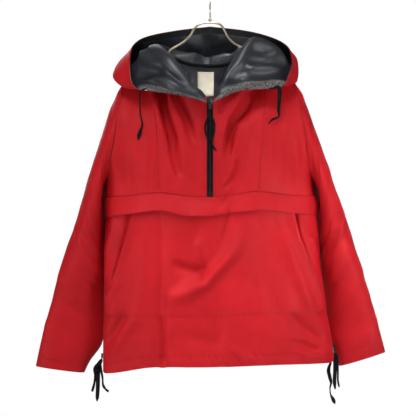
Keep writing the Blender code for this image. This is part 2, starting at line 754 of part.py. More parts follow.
# Hanger: the wire's route from one end over the bar to the other, and the hook's
HANGER_ROUTE = (
    (-173, 0, -177.5), (-161.8, 0, -166), (-123.8, 0, -138.3), (-107.5, 0, -129.5),
    (-98, 0, -118), (-90, 0, -107.5), (-76, 0, -99.6), (-57.5, 0, -88), (-44, 0, -74),
    (-37, 0, -60.5), (-27.6, 0, -51), (-14, 0, -45.8), (0, 0, -45.5), (12, 0, -45.8),
    (25, 0, -51), (34.5, 0, -65), (41.4, 0, -79), (55, 0, -92.7), (69, 0, -100.7),
    (80.5, 0, -106.5), (93.5, 0, -117), (103.5, 0, -128.5), (121, 0, -138), (158, 0, -164.8),
    (169, 0, -176),
)
HANGER_POINTS = 60
HOOK_POINTS = 30
FERRULE_TALL = 5.0


# Eyelets in the hood's facing: the step of the net they sit at, and (radius, height) outline
EYELET_STEP = 4
EYELET_OUTLINE = ((2.0, 0), (4.2, 0), (3.6, 1.0), (2.5, 1.0))
EYELET_SIDES = 14


def make_hanger():
    tube("hanger_frame", smooth_route(HANGER_ROUTE, HANGER_POINTS), WIRE, BRASS, 0.3, 0.9)
    radius = HOOK_RADIUS + HOOK_WIRE / 2
    centre = -HOOK_RADIUS
    foot = HANGER_ROUTE[len(HANGER_ROUTE) // 2][2] + WIRE / 2 + SEAM_GAP
    places = [(0, 0, foot), (0, 0, foot + FERRULE_TALL), (0, 0, foot + FERRULE_TALL + 0.5)]
    places += [(0, radius * 0.35, centre - radius * 0.83)]
    for turn in range(-20, 201, 20):
        angle = math.radians(turn)
        places.append((0, radius * math.cos(angle), centre + radius * math.sin(angle)))
    tube("hanger_hook", places[:2] + smooth_route(places[2:], HOOK_POINTS), HOOK_WIRE,
         BRASS, 0.3, 0.9, widths=(FERRULE, FERRULE))


def make_cords():
    for name, (diameter, count, places) in CORDS.items():
        tube(name, smooth_route(places, count), diameter, BLACK, 0.75)


def on_front(x, z, out):
    """A place at a distance in front of the chest, and the way the chest faces there."""
    place = Vector((x, body_depth(x, z, "front"), z))
    across = Vector((6, body_depth(x + 3, z, "front") - body_depth(x - 3, z, "front"), 0))
    along = Vector((0, body_depth(x, z + 3, "front") - body_depth(x, z - 3, "front"), 6))
    normal = across.cross(along).normalized()
    return place + normal * out, normal


def make_small_parts(net, back, hoods):
    lay_patch("neck_label", net, back, (21.72, 21, 20), (11.74, 12, 13, 14, 15, 15.11),
              UNDER_LINING + LAY_GAP, UNDER_LINING + LAY_GAP + LINING, CREAM, 0.8)
    place, normal = on_front(0, -243.5, 2.4)
    plate("zip_slider", place, (9, 3.6, 11), normal, 0.25, STEEL, 0.3, 1.0)
    place, normal = on_front(0, -440.5, 1.9)
    plate("zip_stop", place, (9, 2.6, 9), normal, 0.0, STEEL, 0.35, 1.0)
    for side, half in (("left", 0), ("right", 1)):
        face = hoods[side][len(HOOD_ROWS), EYELET_STEP]
        place, normal = net.seat(face, half, UNDER_LINING)
        turned("hood_eyelet_" + side, place - normal * SEAM_GAP, -normal, EYELET_OUTLINE,
               EYELET_SIDES, STEEL, 0.25, 1.0)
    plate("hem_toggle_left", (-248.3, -2, -812), (4, 4, 12), (0, -1, 0), 0.0, BLACK, 0.5, 0.0)
    plate("hem_slider_right", (286, -3, -794), (6, 5, 18), (0, -1, 0), 0.2, BLACK, 0.4, 0.0)


def make_body(net, front, back, cells_front, cells_back):
    last = len(front) - 1
    flap_top = last - UPPER_ROWS - 1
    flap_foot = flap_top - LEVEL_STEPS[3][1]
    pocket_foot = flap_foot - LEVEL_STEPS[2][1]
    columns = len(front[0]) - 1
    zip_left = columns // 2 - 1
    princess = zip_left - NECK_FRONT_STEPS - 1
    pocket = princess - 3
    neck = zip_left - NECK_FRONT_STEPS

    def faces(cells, first_row, last_row, first, end):
        return [cells[i, j] for i in range(first_row, last_row) for j in range(first, end)]

    upper = {
        "front_side_left": (0, princess),
        "front_centre_left": (princess, zip_left),
        "front_centre_right": (columns - zip_left, columns - princess),
        "front_side_right": (columns - princess, columns),
    }
    for name, (first, end) in upper.items():
        cut_panel(name, net, faces(cells_front, flap_top, last, first, end),
                  0, CLOTH, RED, CLOTH_ROUGHNESS)
    cut_panel("zip_tape", net, faces(cells_front, flap_top, last, zip_left, columns - zip_left),
              0, CLOTH, BLACK, 0.8)
    cut_panel("front_lower", net, faces(cells_front, 0, flap_top, 0, columns),
              0, CLOTH, RED, CLOTH_ROUGHNESS)
    cut_panel("kangaroo_pocket", net,
              faces(cells_front, pocket_foot, flap_top, pocket, columns - pocket),
              -LAY_GAP - CLOTH, -LAY_GAP, RED, CLOTH_ROUGHNESS)
    lift = {}
    for row in front[flap_foot:flap_top + 1]:
        for j, place in enumerate(row):
            inside = min(1.0, min(j, columns - j) / pocket)
            lift[net.number(place)] = (LAY_GAP + CLOTH) * inside
    cut_panel("storm_flap", net, faces(cells_front, flap_foot, flap_top, 0, columns),
              -LAY_GAP - CLOTH, -LAY_GAP, RED, CLOTH_ROUGHNESS, lift)
    cut_panel("back", net, faces(cells_back, 0, last, 0, columns), 0, CLOTH, RED, CLOTH_ROUGHNESS)
    cut_panel("back_neck_lining", net,
              faces(cells_back, last - LINING_ROWS, last, neck, columns - neck),
              UNDER_CLOTH, UNDER_LINING, DARK, SATIN_ROUGHNESS)


def make_sleeve(side, net, cells):
    cut_panel("sleeve_" + side, net, list(cells.values()), 0, CLOTH, RED, CLOTH_ROUGHNESS)


def make_hood(side, net, cells):
    facing_row = len(HOOD_ROWS)
    lining = [face for (row, _), face in cells.items() if row < facing_row]
    facing = [face for (row, _), face in cells.items() if row == facing_row]
    cut_panel("hood_" + side, net, list(cells.values()), 0, CLOTH, RED, CLOTH_ROUGHNESS)
    cut_panel("hood_lining_" + side, net, lining, UNDER_CLOTH, UNDER_LINING, DARK, SATIN_ROUGHNESS)
    cut_panel("hood_facing_" + side, net, facing, UNDER_CLOTH, UNDER_LINING, BLACK, 0.7)


def main():
    for thing in list(bpy.data.objects):
        bpy.data.objects.remove(thing, do_unlink=True)
    net = Net()
    front, back = body_points("front"), body_points("back")
    cells_front = net.add_grid(front)
    cells_back = net.add_grid(back, flip=True)
    sleeves, hoods = {}, {}
    for side in ("left", "right"):
        rings = [ring + ring[:1] for ring in sleeve_points(side, front, back)]
        sleeves[side] = net.add_grid(rings, flip=side == "left")
        threads = hood_points(side, neck_line(side, front, back))
        hoods[side] = net.add_grid(threads, flip=side == "left")
    net.smooth()
    make_body(net, front, back, cells_front, cells_back)
    for side in ("left", "right"):
        make_sleeve(side, net, sleeves[side])
        make_hood(side, net, hoods[side])
    make_small_parts(net, back, hoods)
    make_cords()
    make_hanger()


main()
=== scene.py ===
"""Look of a hooded anorak pullover on its wire hanger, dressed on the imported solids.

Tables are in millimetres, as in the part's source, and MM turns them into metres.  Each panel
of cloth is a thin shell on the form of its solid, with its folds, rolled seams and stitches.
"""
import math

import bpy
import numpy as np
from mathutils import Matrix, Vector


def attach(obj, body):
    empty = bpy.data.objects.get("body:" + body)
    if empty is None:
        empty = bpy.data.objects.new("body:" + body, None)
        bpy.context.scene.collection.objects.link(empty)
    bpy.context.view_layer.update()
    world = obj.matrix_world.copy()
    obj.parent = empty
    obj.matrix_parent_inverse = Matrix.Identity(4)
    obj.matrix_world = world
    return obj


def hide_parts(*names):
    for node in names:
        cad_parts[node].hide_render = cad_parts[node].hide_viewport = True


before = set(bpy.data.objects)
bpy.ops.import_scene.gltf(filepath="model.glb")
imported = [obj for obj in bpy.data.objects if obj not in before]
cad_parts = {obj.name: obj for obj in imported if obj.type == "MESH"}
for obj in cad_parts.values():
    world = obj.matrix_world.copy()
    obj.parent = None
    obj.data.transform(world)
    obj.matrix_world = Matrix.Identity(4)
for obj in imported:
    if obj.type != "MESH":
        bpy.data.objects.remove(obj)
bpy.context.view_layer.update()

MM = 0.001
FINE = 6              # lines of the shells for each line of the pattern
SIDES = {"left": -1, "right": 1}

# Camera, on a long lens level with the middle of the garment, in metres
CAMERA_AWAY = 5.0
CAMERA_SPAN = 0.957
CAMERA_X = -0.0046
CAMERA_Z = -0.472
SENSOR_WIDTH = 36.0   # millimetres


def put(name, data):
    """Stand something in the scene."""
    made = bpy.data.objects.new(name, data)
    bpy.context.scene.collection.objects.link(made)
    return made


def set_camera():
    data = bpy.data.cameras.new("camera")
    data.sensor_width = SENSOR_WIDTH
    data.lens = SENSOR_WIDTH * CAMERA_AWAY / CAMERA_SPAN
    camera = put("camera", data)
    camera.location = (CAMERA_X, -CAMERA_AWAY, CAMERA_Z)
    camera.rotation_euler = (math.pi / 2, 0, 0)
    bpy.context.scene.camera = camera


# ---------------------------------------------------------------- finishes

class Amount:
    """A number that changes over a surface, with ordinary arithmetic."""

    def __init__(self, finish, socket):
        self.finish = finish
        self.socket = socket

    def join(self, operation, *values):
        made = self.finish.node("ShaderNodeMath", dict(enumerate(values)), operation=operation)
        return Amount(self.finish, made.outputs[0])

    def __add__(self, other):
        return self.join("ADD", self, other)

    def __sub__(self, other):
        return self.join("SUBTRACT", self, other)

    def __mul__(self, other):
        return self.join("MULTIPLY", self, other)

    def wave(self):
        return self.join("SINE", self)

    def size(self):
        return self.join("ABSOLUTE", self)


class Finish:
    """A material of the garment: its shader and the nodes that vary it."""

    def __init__(self, name, colour, roughness, metallic=0.0, specular=0.5):
        self.material = bpy.data.materials.new(name)
        self.material.use_nodes = True
        self.tree = self.material.node_tree
        self.shader = self.tree.nodes["Principled BSDF"]
        self.set("Base Color", (*colour, 1.0))
        self.set("Roughness", roughness)
        self.set("Metallic", metallic)
        self.set("Specular IOR Level", specular)

    def feed(self, socket, value):
        if isinstance(value, Amount):
            value = value.socket
        if isinstance(value, bpy.types.NodeSocket):
            self.tree.links.new(value, socket)
        else:
            socket.default_value = value

    def set(self, name, value):
        self.feed(self.shader.inputs[name], value)

    def node(self, kind, sockets, **settings):
        made = self.tree.nodes.new(kind)
        for name, value in settings.items():
            setattr(made, name, value)
        for name, value in sockets.items():
            self.feed(made.inputs[name], value)
        return made

    def place(self, scale=(1, 1, 1), along_cloth=False):
        """Place on the object, or on the laid-out cloth, stretched by a scale."""
        here = self.node("ShaderNodeTexCoord", {}).outputs["UV" if along_cloth else "Object"]
        return self.node("ShaderNodeMapping", {"Vector": here, "Scale": scale}).outputs[0]

    def parts(self, along_cloth=False):
        """The place as three amounts."""
        made = self.node("ShaderNodeSeparateXYZ", {0: self.place(along_cloth=along_cloth)})
        return [Amount(self, output) for output in made.outputs]

    def noise(self, scale, detail=2.0, stretch=(1, 1, 1), distortion=0.0):
        made = self.node("ShaderNodeTexNoise", {
            "Vector": self.place(stretch), "Scale": scale, "Detail": detail,
            "Distortion": distortion})
        return Amount(self, made.outputs["Fac"])

    def spread(self, amount, low, high):
        """An amount stretched so that low to high becomes 0 to 1."""
        made = self.node("ShaderNodeMapRange", {
            "Value": amount, "From Min": low, "From Max": high}, clamp=True)
        return Amount(self, made.outputs[0])

    def mottle(self, amount, dark, light, low, high):
        """Colour it between two shades, by an amount from low to high."""
        mix = self.node("ShaderNodeMix", {
            0: self.spread(amount, low, high), 6: (*dark, 1.0), 7: (*light, 1.0)},
            data_type="RGBA")
        self.set("Base Color", mix.outputs[2])

    def weave(self, thread, skew=0.0):
        """Plain weave: threads over and under each other on the laid-out cloth."""
        across, along, _ = self.parts(along_cloth=True)
        turn = math.pi / thread
        return ((across * turn + along * (skew * turn)).wave().size()
                + (along * turn).wave().size()) * 0.5

    def relief(self, *layers):
        """Bump layers of (height, distance in metres, strength)."""
        under = {}
        for height, distance, strength in layers:
            bump = self.node("ShaderNodeBump", {
                "Height": height, "Distance": distance, "Strength": strength, **under})
            under = {"Normal": bump.outputs[0]}
        self.set("Normal", under["Normal"])


def shell_cloth():
    """Coated red nylon: matt satin, with faint mottling and a fine weave."""
    made = Finish("red_shell_cloth", (0.54, 0.009, 0.015), 0.6, specular=0.16)
    cloud = made.noise(9.0, 3.0)
    crumple = made.noise(38.0, 3.0, distortion=0.6)
    made.mottle(cloud * 0.7 + crumple * 0.3, (0.47, 0.007, 0.012), (0.56, 0.010, 0.016),
                0.35, 0.65)
    made.set("Roughness", cloud * 0.16 + 0.50)
    made.relief((made.weave(0.0006), 0.0001, 0.25), (crumple, 0.0014, 0.16),
                (made.noise(13.0), 0.004, 0.18))
    return made.material


def lining_cloth():
    """Dark satin lining with soft creases."""
    made = Finish("dark_satin_lining", (0.018, 0.020, 0.026), 0.44, specular=0.75)
    cloud = made.noise(11.0, 3.0)
    made.mottle(cloud, (0.009, 0.011, 0.016), (0.024, 0.027, 0.036), 0.35, 0.65)
    made.set("Roughness", cloud * 0.12 + 0.39)
    made.relief((made.weave(0.0004), 0.00008, 0.2),
                (made.noise(19.0, 1.0, (1, 1, 0.5), 0.8), 0.008, 0.35),
                (made.noise(9.0, 0.0, (1, 1, 0.7), 0.8), 0.040, 0.9))
    return made.material


def facing_cloth():
    """Black brushed facing with grey fibre flecks, painted much stronger along the lower edge of
    the hood: partly fibres, partly a painted highlight where the band faces up into the light.
    """
    made = Finish("flecked_facing_painted_light", (0.03, 0.03, 0.032), 0.85)
    fleck = made.noise(330.0, 3.0, (1, 1, 0.5))
    # painted light: the flecks fade out above the lower edge, so the lower band is painted
    # lighter as if lit from above
    low = made.spread(made.parts()[2], -0.13, -0.17)
    amount = (fleck * 1.1 - 0.32) * (low * 0.9 + 0.1)
    made.mottle(amount, (0.010, 0.010, 0.012), (0.25, 0.235, 0.23), 0.02, 0.42)
    made.relief((fleck, 0.0006, 0.6))
    return made.material


def tape_cloth(name):
    """Woven black tape, as on the zip and the flat cords."""
    dark, light = (0.003, 0.003, 0.004), (0.010, 0.010, 0.011)
    made = Finish(name, dark, 0.75, specular=0.12)
    made.mottle(made.noise(70.0, 3.0), dark, light, 0.4, 0.7)
    made.relief((made.weave(0.0011, 0.6), 0.0003, 0.7))
    return made.material


def label_cloth():
    """Bare cream label, finely woven."""
    made = Finish("bare_label", (0.86, 0.80, 0.66), 0.75)
    made.mottle(made.noise(45.0, 3.0), (0.80, 0.74, 0.60), (0.91, 0.85, 0.71), 0.35, 0.65)
    made.relief((made.weave(0.0007), 0.0002, 0.5))
    return made.material


def toned(colour, share):
    return tuple(min(1.0, share * part) for part in colour)


def thread_finish(name, colour):
    made = Finish(name, colour, 0.7)
    twist = made.noise(900.0, 1.0)
    made.mottle(twist, toned(colour, 0.8), toned(colour, 1.15), 0.3, 0.7)
    made.relief((twist, 0.0001, 0.4))
    return made.material


def metal(name, colour, roughness, worn):
    """Drawn or cast metal, a little duller where it is handled."""
    made = Finish(name, colour, roughness, 1.0)
    rubbed = made.noise(120.0, 4.0, (1, 1, 0.25))
    made.mottle(rubbed, toned(colour, worn), colour, 0.3, 0.6)
    made.set("Roughness", rubbed * 0.25 + (roughness - 0.1))
    made.relief((rubbed, 0.00015, 0.3))
    return made.material


def moulded_plastic():
    made = Finish("black_moulding", (0.006, 0.006, 0.007), 0.45, specular=0.3)
    grain = made.noise(700.0)
    made.set("Roughness", grain * 0.2 + 0.3)
    made.relief((grain, 0.0001, 0.4))
    return made.material


RED_CLOTH = shell_cloth()
LINING_CLOTH = lining_cloth()
FACING_CLOTH = facing_cloth()
CORD_TAPE, ZIP_TAPE = tape_cloth("black_cord_tape"), tape_cloth("black_zip_tape")
LABEL_CLOTH = label_cloth()
# Red thread darker than the cloth: partly its own colour, partly painted shade that makes the
# stitched seams read as dark lines
RED_THREAD = thread_finish("red_thread", (0.33, 0.007, 0.012))
DARK_THREAD = thread_finish("dark_thread", (0.030, 0.030, 0.034))
STEEL = metal("bright_steel", (0.62, 0.62, 0.62), 0.28, 0.75)
GUNMETAL = metal("dark_gunmetal", (0.055, 0.055, 0.06), 0.42, 0.5)
BRASS = metal("pale_brass_wire", (0.66, 0.56, 0.42), 0.30, 0.7)
BLACK_MOULDING = moulded_plastic()


# ---------------------------------------------------------------- making pieces

def add_piece(name, mesh, finish, slot, *nodes):
    """Show a mesh as a piece that hangs with the garment and stands for its solids."""
    made = put(name, mesh)
    mesh.materials.append(finish)
    mesh.shade_smooth()
    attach(made, "root")
    slot + "_finish"
    if nodes:
        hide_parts(*nodes)
    return made


def make_mesh(name, places, faces, cloth=None):
    """A mesh from places in millimetres; cloth gives each one's place on the laid-out cut."""
    mesh = bpy.data.meshes.new(name)
    mesh.from_pydata((np.asarray(places) * MM).tolist(), [], faces)
    mesh.update()
    if cloth is not None:
        corners = np.empty(len(mesh.loops), dtype=int)
        mesh.loops.foreach_get("vertex_index", corners)
        spread = mesh.uv_layers.new(name="cloth")
        spread.data.foreach_set("uv", (np.asarray(cloth)[corners] * MM).ravel())
    return mesh


def unit(ways):
    """Ways brought to length 1."""
    return ways / np.maximum(np.linalg.norm(ways, axis=-1, keepdims=True), 1e-9)


def ease(share):
    """0 to 1 with a soft start and end."""
    return share * share * (3 - 2 * share)


def curve(t, start, end, span, leaves, arrives):
    """Smooth curve over a span, with t from 0 to 1, leaving and arriving at given slopes."""
    return (start * (1 + 2 * t) * (1 - t) ** 2 + end * t * t * (3 - 2 * t)
            + span * t * (1 - t) * (leaves * (1 - t) - arrives * t))


def finer(coarse):
    """Values with FINE steps for each step between them."""
    return np.interp(np.arange((len(coarse) - 1) * FINE + 1) / FINE, range(len(coarse)), coarse)


def run_of(line):
    """How far along a line each of its places is."""
    return np.concatenate([[0], np.cumsum(np.linalg.norm(np.diff(line, axis=0), axis=1))])


def read_along(at, run, values):
    """Places or ways along a line, at distances along it."""
    return np.stack([np.interp(at, run, values[:, k]) for k in range(3)], axis=-1)


def tube(rings, ring, base=0):
    """Faces of a closed tube of rings of places, numbered from base."""
    def number(k, i):
        return base + k * ring + i % ring

    faces = [(number(k, i), number(k, i + 1), number(k + 1, i + 1), number(k + 1, i))
             for k in range(rings - 1) for i in range(ring)]
    return faces + [tuple(number(0, i) for i in reversed(range(ring))),
                    tuple(number(rings - 1, i) for i in range(ring))]


# ---------------------------------------------------------------- cords

CORD_SIDES = 10
CORD_EDGE = 0.5       # powers that flatten a cord's round section
CORD_FACE = 0.8
KNOT_POINTS = 56
KNOT_SWAY = 0.12      # how unevenly a knot's windings lie
KNOT_DIPS = 1.6

# Flat cords: the node each stands for, its width, thickness and route; the flat side faces
# the way given at the route's start and turns evenly to the way given at its end.
CORDS = {
    "zip_pull_cord": dict(
        width=5.2, thick=1.9, count=60, length=129, start=(0, -1, 0), end=(0, -1, 0),
        widths=((0, 1), (1, 1)),
        route=((0, -87.9, -249.8), (-2, -90.3, -260), (-6.5, -90.9, -272), (-11, -91.5, -288),
               (-8.5, -92.6, -306), (0, -93.6, -318), (7.5, -92.6, -306), (10, -91.5, -286),
               (6, -91.3, -272), (3, -90.9, -266.5))),
    "zip_pull_tail": dict(
        width=5.2, thick=1.9, count=14, length=27, start=(0, -1, 0), end=(0.3, -1, 0),
        widths=((0, 1), (0.6, 1.1), (1, 0.5)),
        hangs_on="zip_pull_cord",
        route=((0.2, -93.7, -320), (1.2, -93.9, -323.5), (5.5, -94.2, -331), (14, -94.4, -343))),
    "hood_cord_left": dict(
        width=5.5, thick=1.4, count=60, length=126, start=(-0.8, -1, 0.3), end=(0.2, -1, 0),
        widths=((0, 0.7), (0.55, 0.62), (0.66, 0.9), (0.72, 0.7), (0.86, 1.65), (0.92, 1.6),
                (1, 0.3)),
        route=((-144.2, -91.9, -202.4), (-151.5, -91.3, -204.6), (-157.5, -90.5, -211),
               (-158.5, -89, -236), (-157.3, -87, -260.6), (-153, -86, -282), (-156, -85, -293),
               (-159.5, -84.4, -304), (-163, -84.2, -318))),
    "hood_cord_right": dict(
        width=7.5, thick=1.5, count=60, length=118, start=(0, -1, 0.4), end=(0.2, -1, 0),
        widths=((0, 0.6), (0.2, 0.8), (0.26, 1.3), (0.42, 1.3), (0.62, 0.75), (0.7, 0.5),
                (0.76, 0.7), (0.9, 0.75), (1, 0.25)),
        route=((134, -95.1, -202.5), (142, -93.7, -201.5), (150.5, -91.2, -198.7),
               (157.3, -89.5, -203.5), (156.8, -88, -228), (155, -86, -251), (156, -85, -263),
               (150, -84.6, -268.5), (142.6, -84.4, -271), (132, -84.6, -282))),
    "hem_cord_left_outer": dict(
        width=8.0, thick=1.8, count=44, length=82, start=(0, -1, 0), end=(-0.4, -1, 0),
        widths=((0, 0.5), (0.12, 0.8), (0.25, 1.25), (0.42, 1.25), (0.55, 0.75), (0.8, 0.65),
                (0.92, 0.85), (1, 0.7)),
        route=((-249.3, -2.4, -818.5), (-250.2, -3, -822), (-255, -4, -830), (-265, -5, -842),
               (-264, -5, -856), (-266, -4, -875), (-271, -4, -894))),
    "hem_cord_left_middle": dict(
        width=9.5, thick=1.9, count=40, length=80, start=(0, -1, 0), end=(0.3, -1, 0),
        widths=((0, 0.9), (0.15, 1.1), (0.8, 0.98), (0.92, 0.9), (1, 0.3)),
        route=((-256.7, -5.8, -836.3), (-257.5, -6, -852), (-257.5, -6, -870), (-258, -6, -890),
               (-259.5, -6, -916))),
    "hem_cord_left_inner": dict(
        width=5.8, thick=1.6, count=40, length=68, start=(0.4, -1, 0), end=(0, -1, 0.3),
        widths=((0, 0.8), (0.25, 1), (0.5, 0.7), (0.68, 1.1), (0.78, 0.8), (1, 1)),
        route=((-251.4, -5.3, -830.9), (-249.8, -6, -846), (-247, -6, -862), (-245.5, -6, -879),
               (-240, -6, -888), (-233, -6, -894))),
    "hem_cord_right_outer": dict(
        width=5.8, thick=1.6, count=44, length=82, start=(0, -1, 0), end=(0.6, -1, 0),
        widths=((0, 0.7), (0.3, 1), (0.6, 0.8), (0.95, 0.9), (1, 0.5)),
        route=((287.6, -1.6, -803.4), (288.6, -2, -807), (291.5, -4, -815), (293.5, -5, -828),
               (294, -5, -850), (294, -4, -868), (297, -4, -884))),
    "hem_cord_right_inner": dict(
        width=9.0, thick=1.8, count=44, length=85, start=(0, -1, 0), end=(0.3, -1, 0),
        widths=((0, 0.5), (0.1, 0.8), (0.4, 1.05), (0.88, 1), (1, 0.4)),
        route=((285.3, -5.2, -803.4), (285.8, -6.2, -807), (286.8, -7, -816), (287.5, -7, -828),
               (287, -7, -850), (286, -7, -870), (287.5, -7, -888))),
    "hem_cord_right_lower": dict(
        width=8.0, thick=1.6, count=48, length=99, start=(0.3, -1, 0), end=(-0.6, -1, 0),
        widths=((0, 0.7), (0.15, 1.1), (0.35, 1), (0.5, 0.5), (0.62, 0.35), (0.72, 0.45),
                (0.86, 1.15), (0.94, 1.1), (1, 0.2)),
        route=((276.8, -18.2, -826.0), (272, -13, -843), (275, -10, -860), (278, -9, -873),
               (275.5, -9, -886), (277, -9, -900), (282.5, -9, -911), (287, -9, -922))),
}


def thread_point(places, mark):
    """A place on the smooth curve through a few; mark 1.5 is between the second two."""
    last = len(places) - 1
    i = min(last - 1, int(mark))
    spans = np.linalg.norm(np.diff(places, axis=0), axis=1)

    def slope(k):
        before, after = max(0, k - 1), min(last, k + 1)
        return (places[after] - places[before]) / sum(spans[before:after])

    return curve(mark - i, places[i], places[i + 1], spans[i], slope(i), slope(i + 1))


def route_points(route, count):
    places = np.array(route, dtype=float)
    return np.array([thread_point(places, (len(places) - 1) * i / (count - 1))
                     for i in range(count)])


def flat_cord(name, points, looks, width, thick, widths):
    """A flat woven cord through points; its flat side looks the way given at each.

    Widths gives how much of its width shows at shares of its length, as it twists.
    """
    ways = unit(np.gradient(points, axis=0))
    looks = unit(looks - ways * (looks * ways).sum(axis=1, keepdims=True))
    turn = 2 * math.pi * np.arange(CORD_SIDES) / CORD_SIDES
    flat, thin = np.cos(turn), np.sin(turn)
    wide = width * np.interp(np.linspace(0, 1, len(points)), *zip(*widths))[:, None]
    side = np.sign(flat) * np.abs(flat) ** CORD_EDGE * wide / 2
    lift = np.sign(thin) * np.abs(thin) ** CORD_FACE * thick / 2
    places = (points[:, None] + np.cross(ways, looks)[:, None] * side[..., None]
              + looks[:, None] * lift[:, None])
    cloth = np.stack([side, run_of(points)[:, None] + 0 * side], axis=-1)
    return make_mesh(name, places.reshape(-1, 3), tube(len(points), CORD_SIDES),
                     cloth.reshape(-1, 2))


# Wraps of cord round a knot: centre, half width, half depth and height of the windings,
# their turns, the cord's width and thickness there, and the cord they belong to
WRAPS = {
    "hem_knot_left": ((-259, -5.5, -841), 6.5, 4.5, 13, 2.4, 6.0, 2.2, "hem_cord_left_outer"),
    "hem_knot_right": ((288.5, -5.5, -812), 4.6, 3.4, 7, 1.6, 5.0, 1.8, "hem_cord_right_inner"),
    "zip_pull_knot": ((0.2, -93.3, -318.5), 3.6, 2.4, 4, 1.6, 3.6, 1.5, "zip_pull_cord"),
}


def wrap_knot(name, centre, half, deep, tall, turns, width, thick, cord):
    share = np.linspace(0, 1, KNOT_POINTS)
    angle = 2 * math.pi * turns * share + 0.7
    out = np.stack([np.cos(angle), np.sin(angle), 0 * angle], axis=1)
    sway = 1 + KNOT_SWAY * np.sin(3 * angle + 1)
    points = np.array(centre) + out * np.array([half, deep, 0]) * sway[:, None]
    points[:, 2] += tall * (0.5 - share) + KNOT_DIPS * np.sin(angle * 1.5)
    mesh = flat_cord(name, points, out, width, thick, ((0, 0.5), (0.15, 1), (0.85, 1), (1, 0.5)))
    return add_piece(name, mesh, CORD_TAPE, cord)


def make_cords():
    pieces, paths, on_it = {}, {}, {name: [] for name in CORDS}
    for name, cord in CORDS.items():
        paths[name] = route_points(cord["route"], cord["count"])
        looks = np.linspace(cord["start"], cord["end"], cord["count"])
        mesh = flat_cord(name, paths[name], looks, cord["width"], cord["thick"], cord["widths"])
        pieces[name] = add_piece(name + "_tape", mesh, CORD_TAPE, name, name)
        if "hangs_on" in cord:
            on_it[cord["hangs_on"]].append(pieces[name])
    for name, wrap in WRAPS.items():
        on_it[wrap[-1]].append(wrap_knot(name, *wrap))


# ---------------------------------------------------------------- form of the garment

UNDERARM = -417.0     # height of the foot of the armholes
HEM_CASING = 21.0     # height of the casing
ZIP_HALF = 7.0        # half width of the zip's strip
ARMHOLE_HALF = 75.0   # half depth of an armhole, and how far its top takes to round off
ARMHOLE_ROLL = 38.0
ARMHOLE_POWER = 0.5   # how square an armhole is at the side, and the body behind it
BEHIND_POWER = 1.1
SHOULDER_ROLL = 70.0  # how far below its ridge the shoulder takes to reach its depth
PLAN_POWER = 2.3      # how square the body is, seen from above
SIDE_COLUMNS = (0, 0.12, 0.45)    # shares of the way from the side to the pocket's opening
PRINCESS_POWER = 1.3  # how the columns inside the opening crowd towards it
SLEEVE_ROWS = 16
SLEEVE_BLEND = 0.25   # share of a sleeve that takes up the form of its armhole
FACING_WIDTH = 16.0
FACING_MOST = 0.35    # the most that the facing takes of a thread's last span
HOOD_STEPS = 13       # steps round the neck, from the zip to the centre of the back
HOOD_POINTS = ("rise", "bag", "back", "rim")
HOOD_MARKS = (0, 0.5, 1, 1.35, 1.7, 2, 2.4, 2.75, 3, 3.3)   # places along a thread

# Lines of the grids at the seams: rows up from the hem, columns from the left side
ROWS = {name: line * FINE for name, line in (
    ("casing", 1), ("pocket_foot", 5), ("flap_foot", 11), ("flap_top", 13), ("underarm", 14),
    ("top", 23))}
COLUMNS = {name: line * FINE for name, line in (
    ("pocket", 3), ("princess", 6), ("neck", 7), ("zip", 13), ("centre", 14), ("last", 28))}


def mirrored(name):
    return COLUMNS["last"] - COLUMNS[name]


class Table:
    """Named columns of sizes; each is read along the first by a curve that never overshoots."""

    def __init__(self, columns, *rows):
        self.columns = columns.split()
        self.rows = np.array(sorted(rows), dtype=float)

    def at(self, key, name):
        keys, values = self.rows[:, 0], self.rows[:, self.columns.index(name)]
        step = np.diff(keys)
        slope = np.diff(values) / step
        slopes = np.concatenate(([slope[0]], np.zeros(len(keys) - 2), [slope[-1]]))
        for i in range(1, len(keys) - 1):
            if slope[i - 1] * slope[i] > 0:
                slopes[i] = 2 * slope[i - 1] * slope[i] / (slope[i - 1] + slope[i])
        key = np.clip(key, keys[0], keys[-1])
        i = np.clip(np.searchsorted(keys, key) - 1, 0, len(step) - 1)
        return curve((key - keys[i]) / step[i], values[i], values[i + 1], step[i],
                     slopes[i], slopes[i + 1])

    def place(self, key, name):
        return np.array([self.at(key, f"{name}_{axis}") for axis in "xyz"])


# Columns of the body by height: side edge (armhole above the underarm), pocket opening,
# princess seam and side of the neck, left and right
SEAMS = Table(
    "height  side_left pocket_left princess_left neck_left"
    "  neck_right princess_right pocket_right side_right",
    (-120, -200, -165, -127, -112, 109, 127, 162, 195),
    (-186, -200, -165, -125, -109, 106, 126, 162, 195),
    (-247, -209, -165, -123, -106, 104, 124, 166, 205),
    (-311, -217, -165, -120, -104, 102, 119, 172, 216),
    (-372, -229, -165, -117, -102, 100, 113, 178, 225),
    (-417, -239, -166, -116, -101, 98, 111, 184, 237),
    (-449, -241.5, -168, -115, -100, 98, 110, 187, 244),
    (-495, -241.5, -176, -115, -100, 98, 110, 191, 248),
    (-569, -244, -198, -115, -100, 99, 111, 212, 253),
    (-640, -244, -222, -116, -100, 99, 112, 240, 260),
    (-676, -244, -236, -116, -101, 100, 113, 255, 264),
    (-730, -245, -238, -117, -102, 101, 115, 264, 271),
    (-785, -246, -239, -118, -103, 103, 118, 274, 281),
    (-850, -246, -239, -118, -103, 104, 120, 280, 288),
)
# The same columns where the rows' heights are read
ACROSS = dict(side=242.0, pocket=180.0, princess=115.0, neck=100.0, zip=ZIP_HALF)

# Heights of the front's seams and edges, by place across the body
LEVELS = Table(
    "across  hem  pocket_foot  flap_foot  flap_top",
    (-242, -848, -721, -495, -449),
    (-184, -851, -721, -486, -443),
    (-115, -834, -719, -478, -438),
    (-46, -834, -718, -491, -446),
    (0, -833.5, -717, -490, -447),
    (57, -832.5, -715, -482, -442),
    (115, -829.5, -713, -477, -435),
    (172, -827, -711, -484, -442),
    (242, -823.5, -709, -492, -445),
)

